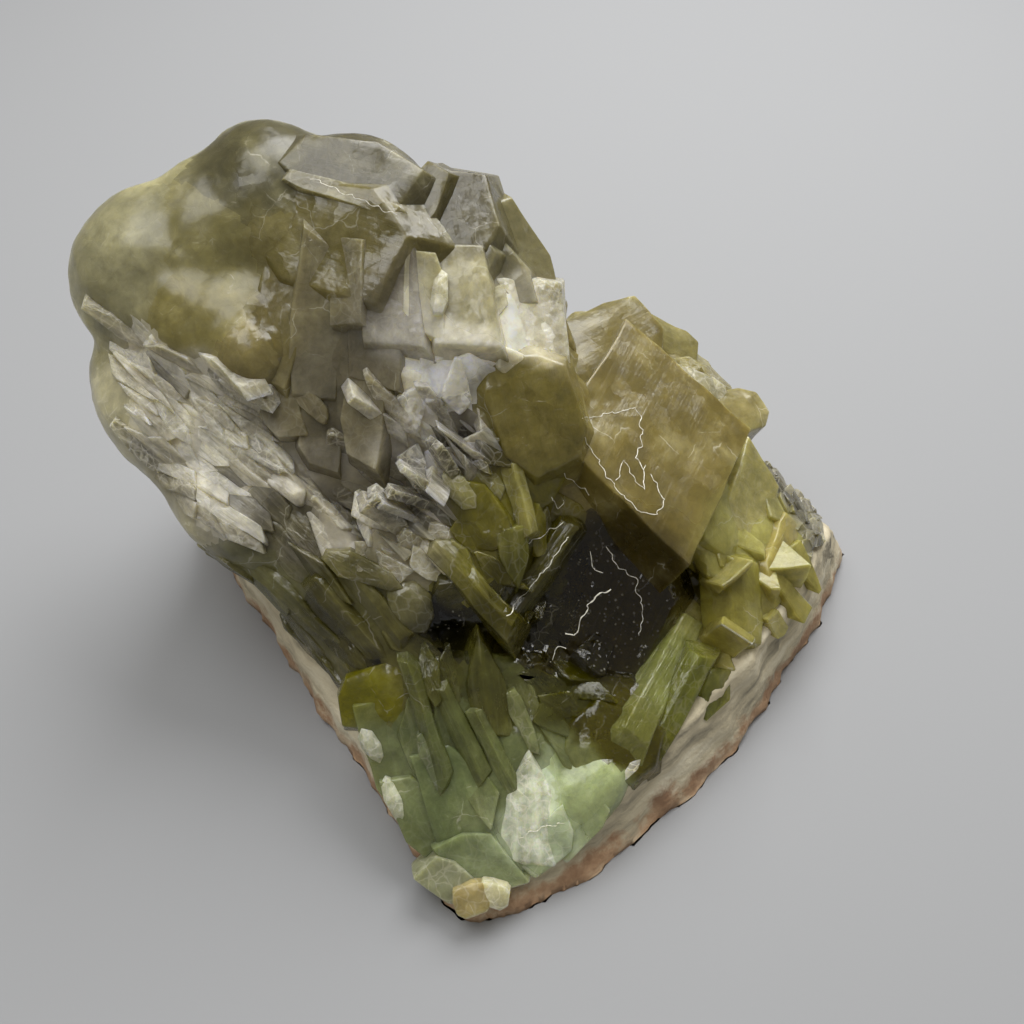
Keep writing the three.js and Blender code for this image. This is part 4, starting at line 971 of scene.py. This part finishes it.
crack_glints = []
for plane, thick, places in [
    (SLOPE, 0.11, [(17, -18), (24, -16), (30, -15), (31, -21), (29, -26), (31, -29)]),
    (SLOPE, 0.11, [(17, -22), (21, -28), (25, -34), (29, -38), (33, -38), (35, -35), (32, -29)]),
    (SLOPE, 0.1, [(24, -31), (26, -27), (28, -30), (30, -33), (31, -27)]),
    (SLOPE, 0.12, [(13, -29), (16, -32), (19, -34)]),
    (SLOPE, 0.12, [(14, -43), (8, -51), (3, -57), (0, -59)]),
    (SLOPE, 0.1, [(5, -44), (9, -42), (13, -40)]),
    (SLOPE, 0.18, [(14, -65), (16, -65), (18, -60), (20, -57), (24, -55)]),
    (SLOPE, 0.08, [(23, -46), (25, -50), (29, -53), (31, -60), (30, -66)]),
    (SLOPE, 0.1, [(19, -47), (20, -51), (22, -51)]),
    (SLOPE, 0.11, [(10, -70), (12, -68), (14, -68)]),
    (SLOPE, 0.1, [(10, -34), (12, -37), (13, -35)]),
    (SLOPE, 0.09, [(-39, 31), (-31, 27), (-21, 22)]),
    (SLOPE, 0.1, [(3, -105), (8, -103), (13, -102)]),
]:
    crack_glints.append(crack_glint(plane, places, thick))
    bpy.context.scene.collection.objects.link(crack_glints[-1])
bpy.ops.object.select_all(action="DESELECT")
for line in crack_glints:
    line.select_set(True)
bpy.context.view_layer.objects.active = crack_glints[0]
bpy.ops.object.convert(target="MESH")
bpy.ops.object.join()
crack_glint_lines = bpy.context.active_object
crack_glint_lines.name = "crack_glint_lines"
# A fresh break in calcite scatters the light at its surface, so it is white with a slight
# gloss; here the white also stands for glints off step edges, as painted highlight.
crack_glint_white = bpy.data.materials.new("calcite_fresh_break_and_glint")
crack_glint_white.use_nodes = True
crack_glint_shader = crack_glint_white.node_tree.nodes["Principled BSDF"]
crack_glint_shader.inputs["Base Color"].default_value = from_hex("#e9e5d2")
crack_glint_shader.inputs["Roughness"].default_value = 0.2
crack_glint_shader.inputs["IOR"].default_value = 1.6
crack_glint_lines.data.materials.clear()
crack_glint_lines.data.materials.append(crack_glint_white)
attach(crack_glint_lines, "root")

# ------------------------------------------------------------------ the host rock
# The slab that the calcite grew on: grey limestone, stained rusty towards its underside,
# about 2 cm thick, thinner at the front corner and flat where it was sawn to stand.
rock_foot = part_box("rock_slab")[0].z
rock_corners = [
    (-71, -57, 0), (-66, -62, 0), (-45, -71.6, 0), (-15, -74.6, 0), (13, -74, 0), (50, -66.5, 0),
    (71, -60, 0),
    (69, -42, 0), (70, -10, 0), (70, 30, 0), (56, 60, 0), (20, 76, 0), (-20, 80, 0),
    (-48, 72, 0), (-52, 46, 0), (-51, 2, 0),
    (-62, -50, 5), (-47, -64, 10), (-16, -67, 19), (12, -67, 20), (48, -61, 20), (64, -57, 15),
    (57, -45, 18), (63, -20, 19), (64, 28, 18), (52, 54, 18), (18, 70, 18), (-18, 74, 18),
    (-45, 67, 19), (-50, 44, 20), (-49, 2, 20),
]
rock = hull("host_rock", [Vector(corner) * MM for corner in rock_corners])
weather(rock, 1.4, 2, [(18, 1.6), (6, 0.9), (2.2, 0.5)])
for vertex in rock.data.vertices:
    if vertex.co.z < 1.2 * MM:
        vertex.co.z = rock_foot
for face in rock.data.polygons:
    face.use_smooth = True


def make_rock():
    """Limestone: matt, grey with slanting pale bands, rust brown near its underside."""
    material = bpy.data.materials.new("host_rock_limestone")
    material.use_nodes = True
    tree = material.node_tree
    shader = tree.nodes["Principled BSDF"]
    place = add_node(tree, "ShaderNodeTexCoord").outputs["Object"]
    slanted = add_node(tree, "ShaderNodeMapping",
                       {"Rotation": (0.0, math.radians(24), 0.0), "Scale": (45, 45, 330)},
                       {"Vector": place}).outputs["Vector"]
    bands = add_node(tree, "ShaderNodeTexNoise", {"Scale": 1, "Detail": 6, "Roughness": 0.6},
                     {"Vector": slanted}).outputs["Fac"]
    grey = add_node(tree, "ShaderNodeValToRGB", {}, {"Fac": bands})
    stops = grey.color_ramp.elements
    stops[0].position, stops[0].color = 0.3, from_hex("#857f6e")
    stops[1].position, stops[1].color = 0.72, from_hex("#e2dbc4")
    stops.new(0.5).color = from_hex("#c8bda0")
    split = add_node(tree, "ShaderNodeSeparateXYZ", {}, {"Vector": place})
    patches = add_node(tree, "ShaderNodeTexNoise", {"Scale": 110, "Detail": 5, "Roughness": 0.65},
                       {"Vector": place}).outputs["Fac"]
    uneven = add_node(tree, "ShaderNodeMath", {"operation": "MULTIPLY_ADD", 1: 0.02, 2: -0.01},
                      {0: patches}).outputs["Value"]
    level = add_node(tree, "ShaderNodeMath", {"operation": "ADD"},
                     {0: split.outputs["Z"], 1: uneven}).outputs["Value"]
    rusty = add_node(tree, "ShaderNodeMapRange",
                     {"From Min": 0.0065, "From Max": 0.003, "To Max": 0.9},
                     {"Value": level}).outputs["Result"]
    rust = add_node(tree, "ShaderNodeValToRGB", {}, {"Fac": patches})
    stops = rust.color_ramp.elements
    stops[0].position, stops[0].color = 0.35, from_hex("#8f6848")
    stops[1].position, stops[1].color = 0.7, from_hex("#d6c2a2")
    stops.new(0.52).color = from_hex("#b3906f")
    stained = add_node(tree, "ShaderNodeMix", {"data_type": "RGBA"},
                       {0: rusty, 6: grey.outputs["Color"], 7: rust.outputs["Color"]}).outputs[2]
    # near-black patches of about 5 mm at the right end, above the rust
    right_end = add_node(tree, "ShaderNodeMapRange",
                         {"From Min": 0.044, "From Max": 0.058, "To Max": 0.75},
                         {"Value": split.outputs["X"]}).outputs["Result"]
    patchy = add_node(tree, "ShaderNodeMapRange", {"From Min": 0.5, "From Max": 0.56},
                      {"Value": patches}).outputs["Result"]
    high_up = add_node(tree, "ShaderNodeMapRange", {"From Min": 0.008, "From Max": 0.012},
                       {"Value": level}).outputs["Result"]
    black = add_node(tree, "ShaderNodeMath", {"operation": "MULTIPLY"},
                     {0: right_end, 1: patchy}).outputs["Value"]
    black = add_node(tree, "ShaderNodeMath", {"operation": "MULTIPLY"},
                     {0: black, 1: high_up}).outputs["Value"]
    colour = add_node(tree, "ShaderNodeMix", {"data_type": "RGBA", 7: from_hex("#34312a")},
                      {0: black, 6: stained}).outputs[2]
    tree.links.new(colour, shader.inputs["Base Color"])
    shader.inputs["Roughness"].default_value = 0.72
    grit = add_node(tree, "ShaderNodeTexNoise", {"Scale": 1100, "Detail": 4},
                    {"Vector": place}).outputs["Fac"]
    bump = add_node(tree, "ShaderNodeBump", {"Strength": 0.5, "Distance": 0.0006},
                    {"Height": grit}).outputs["Normal"]
    tree.links.new(bump, shader.inputs["Normal"])
    return material


rock.data.materials.append(make_rock())
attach(rock, "root")
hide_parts("rock_slab")

# ------------------------------------------------------------------ floor, light and camera
# The specimen stands on pale matt paper. A soft window shines from behind on the right, and
# a weaker, equally broad light from above.
bpy.ops.object.select_all(action="DESELECT")
bpy.ops.mesh.primitive_plane_add(size=4)
floor = bpy.context.active_object
floor.name = "floor"
floor_material = bpy.data.materials.new("pale_paper")
floor_material.use_nodes = True
floor_shader = floor_material.node_tree.nodes["Principled BSDF"]
floor_shader.inputs["Base Color"].default_value = from_hex("#939496")
floor_shader.inputs["Roughness"].default_value = 0.7
floor.data.materials.append(floor_material)

world = bpy.data.worlds.new("soft room")
world.use_nodes = True
world.node_tree.nodes["Background"].inputs["Color"].default_value = from_hex("#fffaef")
world.node_tree.nodes["Background"].inputs["Strength"].default_value = 0.28
bpy.context.scene.world = world


def softbox(name, place, size, watts):
    lamp = bpy.data.lights.new(name, "AREA")
    lamp.shape = "SQUARE"
    lamp.size = size
    lamp.energy = watts
    holder = bpy.data.objects.new(name, lamp)
    holder.location = place
    aim = Vector((0, 0, 0.5 * calcite_top))
    holder.rotation_euler = (aim - Vector(place)).to_track_quat("-Z", "Y").to_euler()
    bpy.context.scene.collection.objects.link(holder)


softbox("window", (0.47, 0.20, 0.68), 0.6, 8.0)
softbox("ceiling", (-0.15, 0.2, 0.9), 0.6, 5.0)

CAMERA_HEIGHT = 0.220
camera_data = bpy.data.cameras.new("camera")
camera_data.lens = 36
camera_data.sensor_width = 36
camera_data.clip_start = 0.01
camera = bpy.data.objects.new("camera", camera_data)
camera.location = (-0.1138, -0.1163, CAMERA_HEIGHT)
camera.rotation_euler = (math.radians(40), 0, math.radians(-45))
bpy.context.scene.collection.objects.link(camera)
bpy.context.scene.camera = camera
bpy.context.scene.view_settings.view_transform = "Standard"
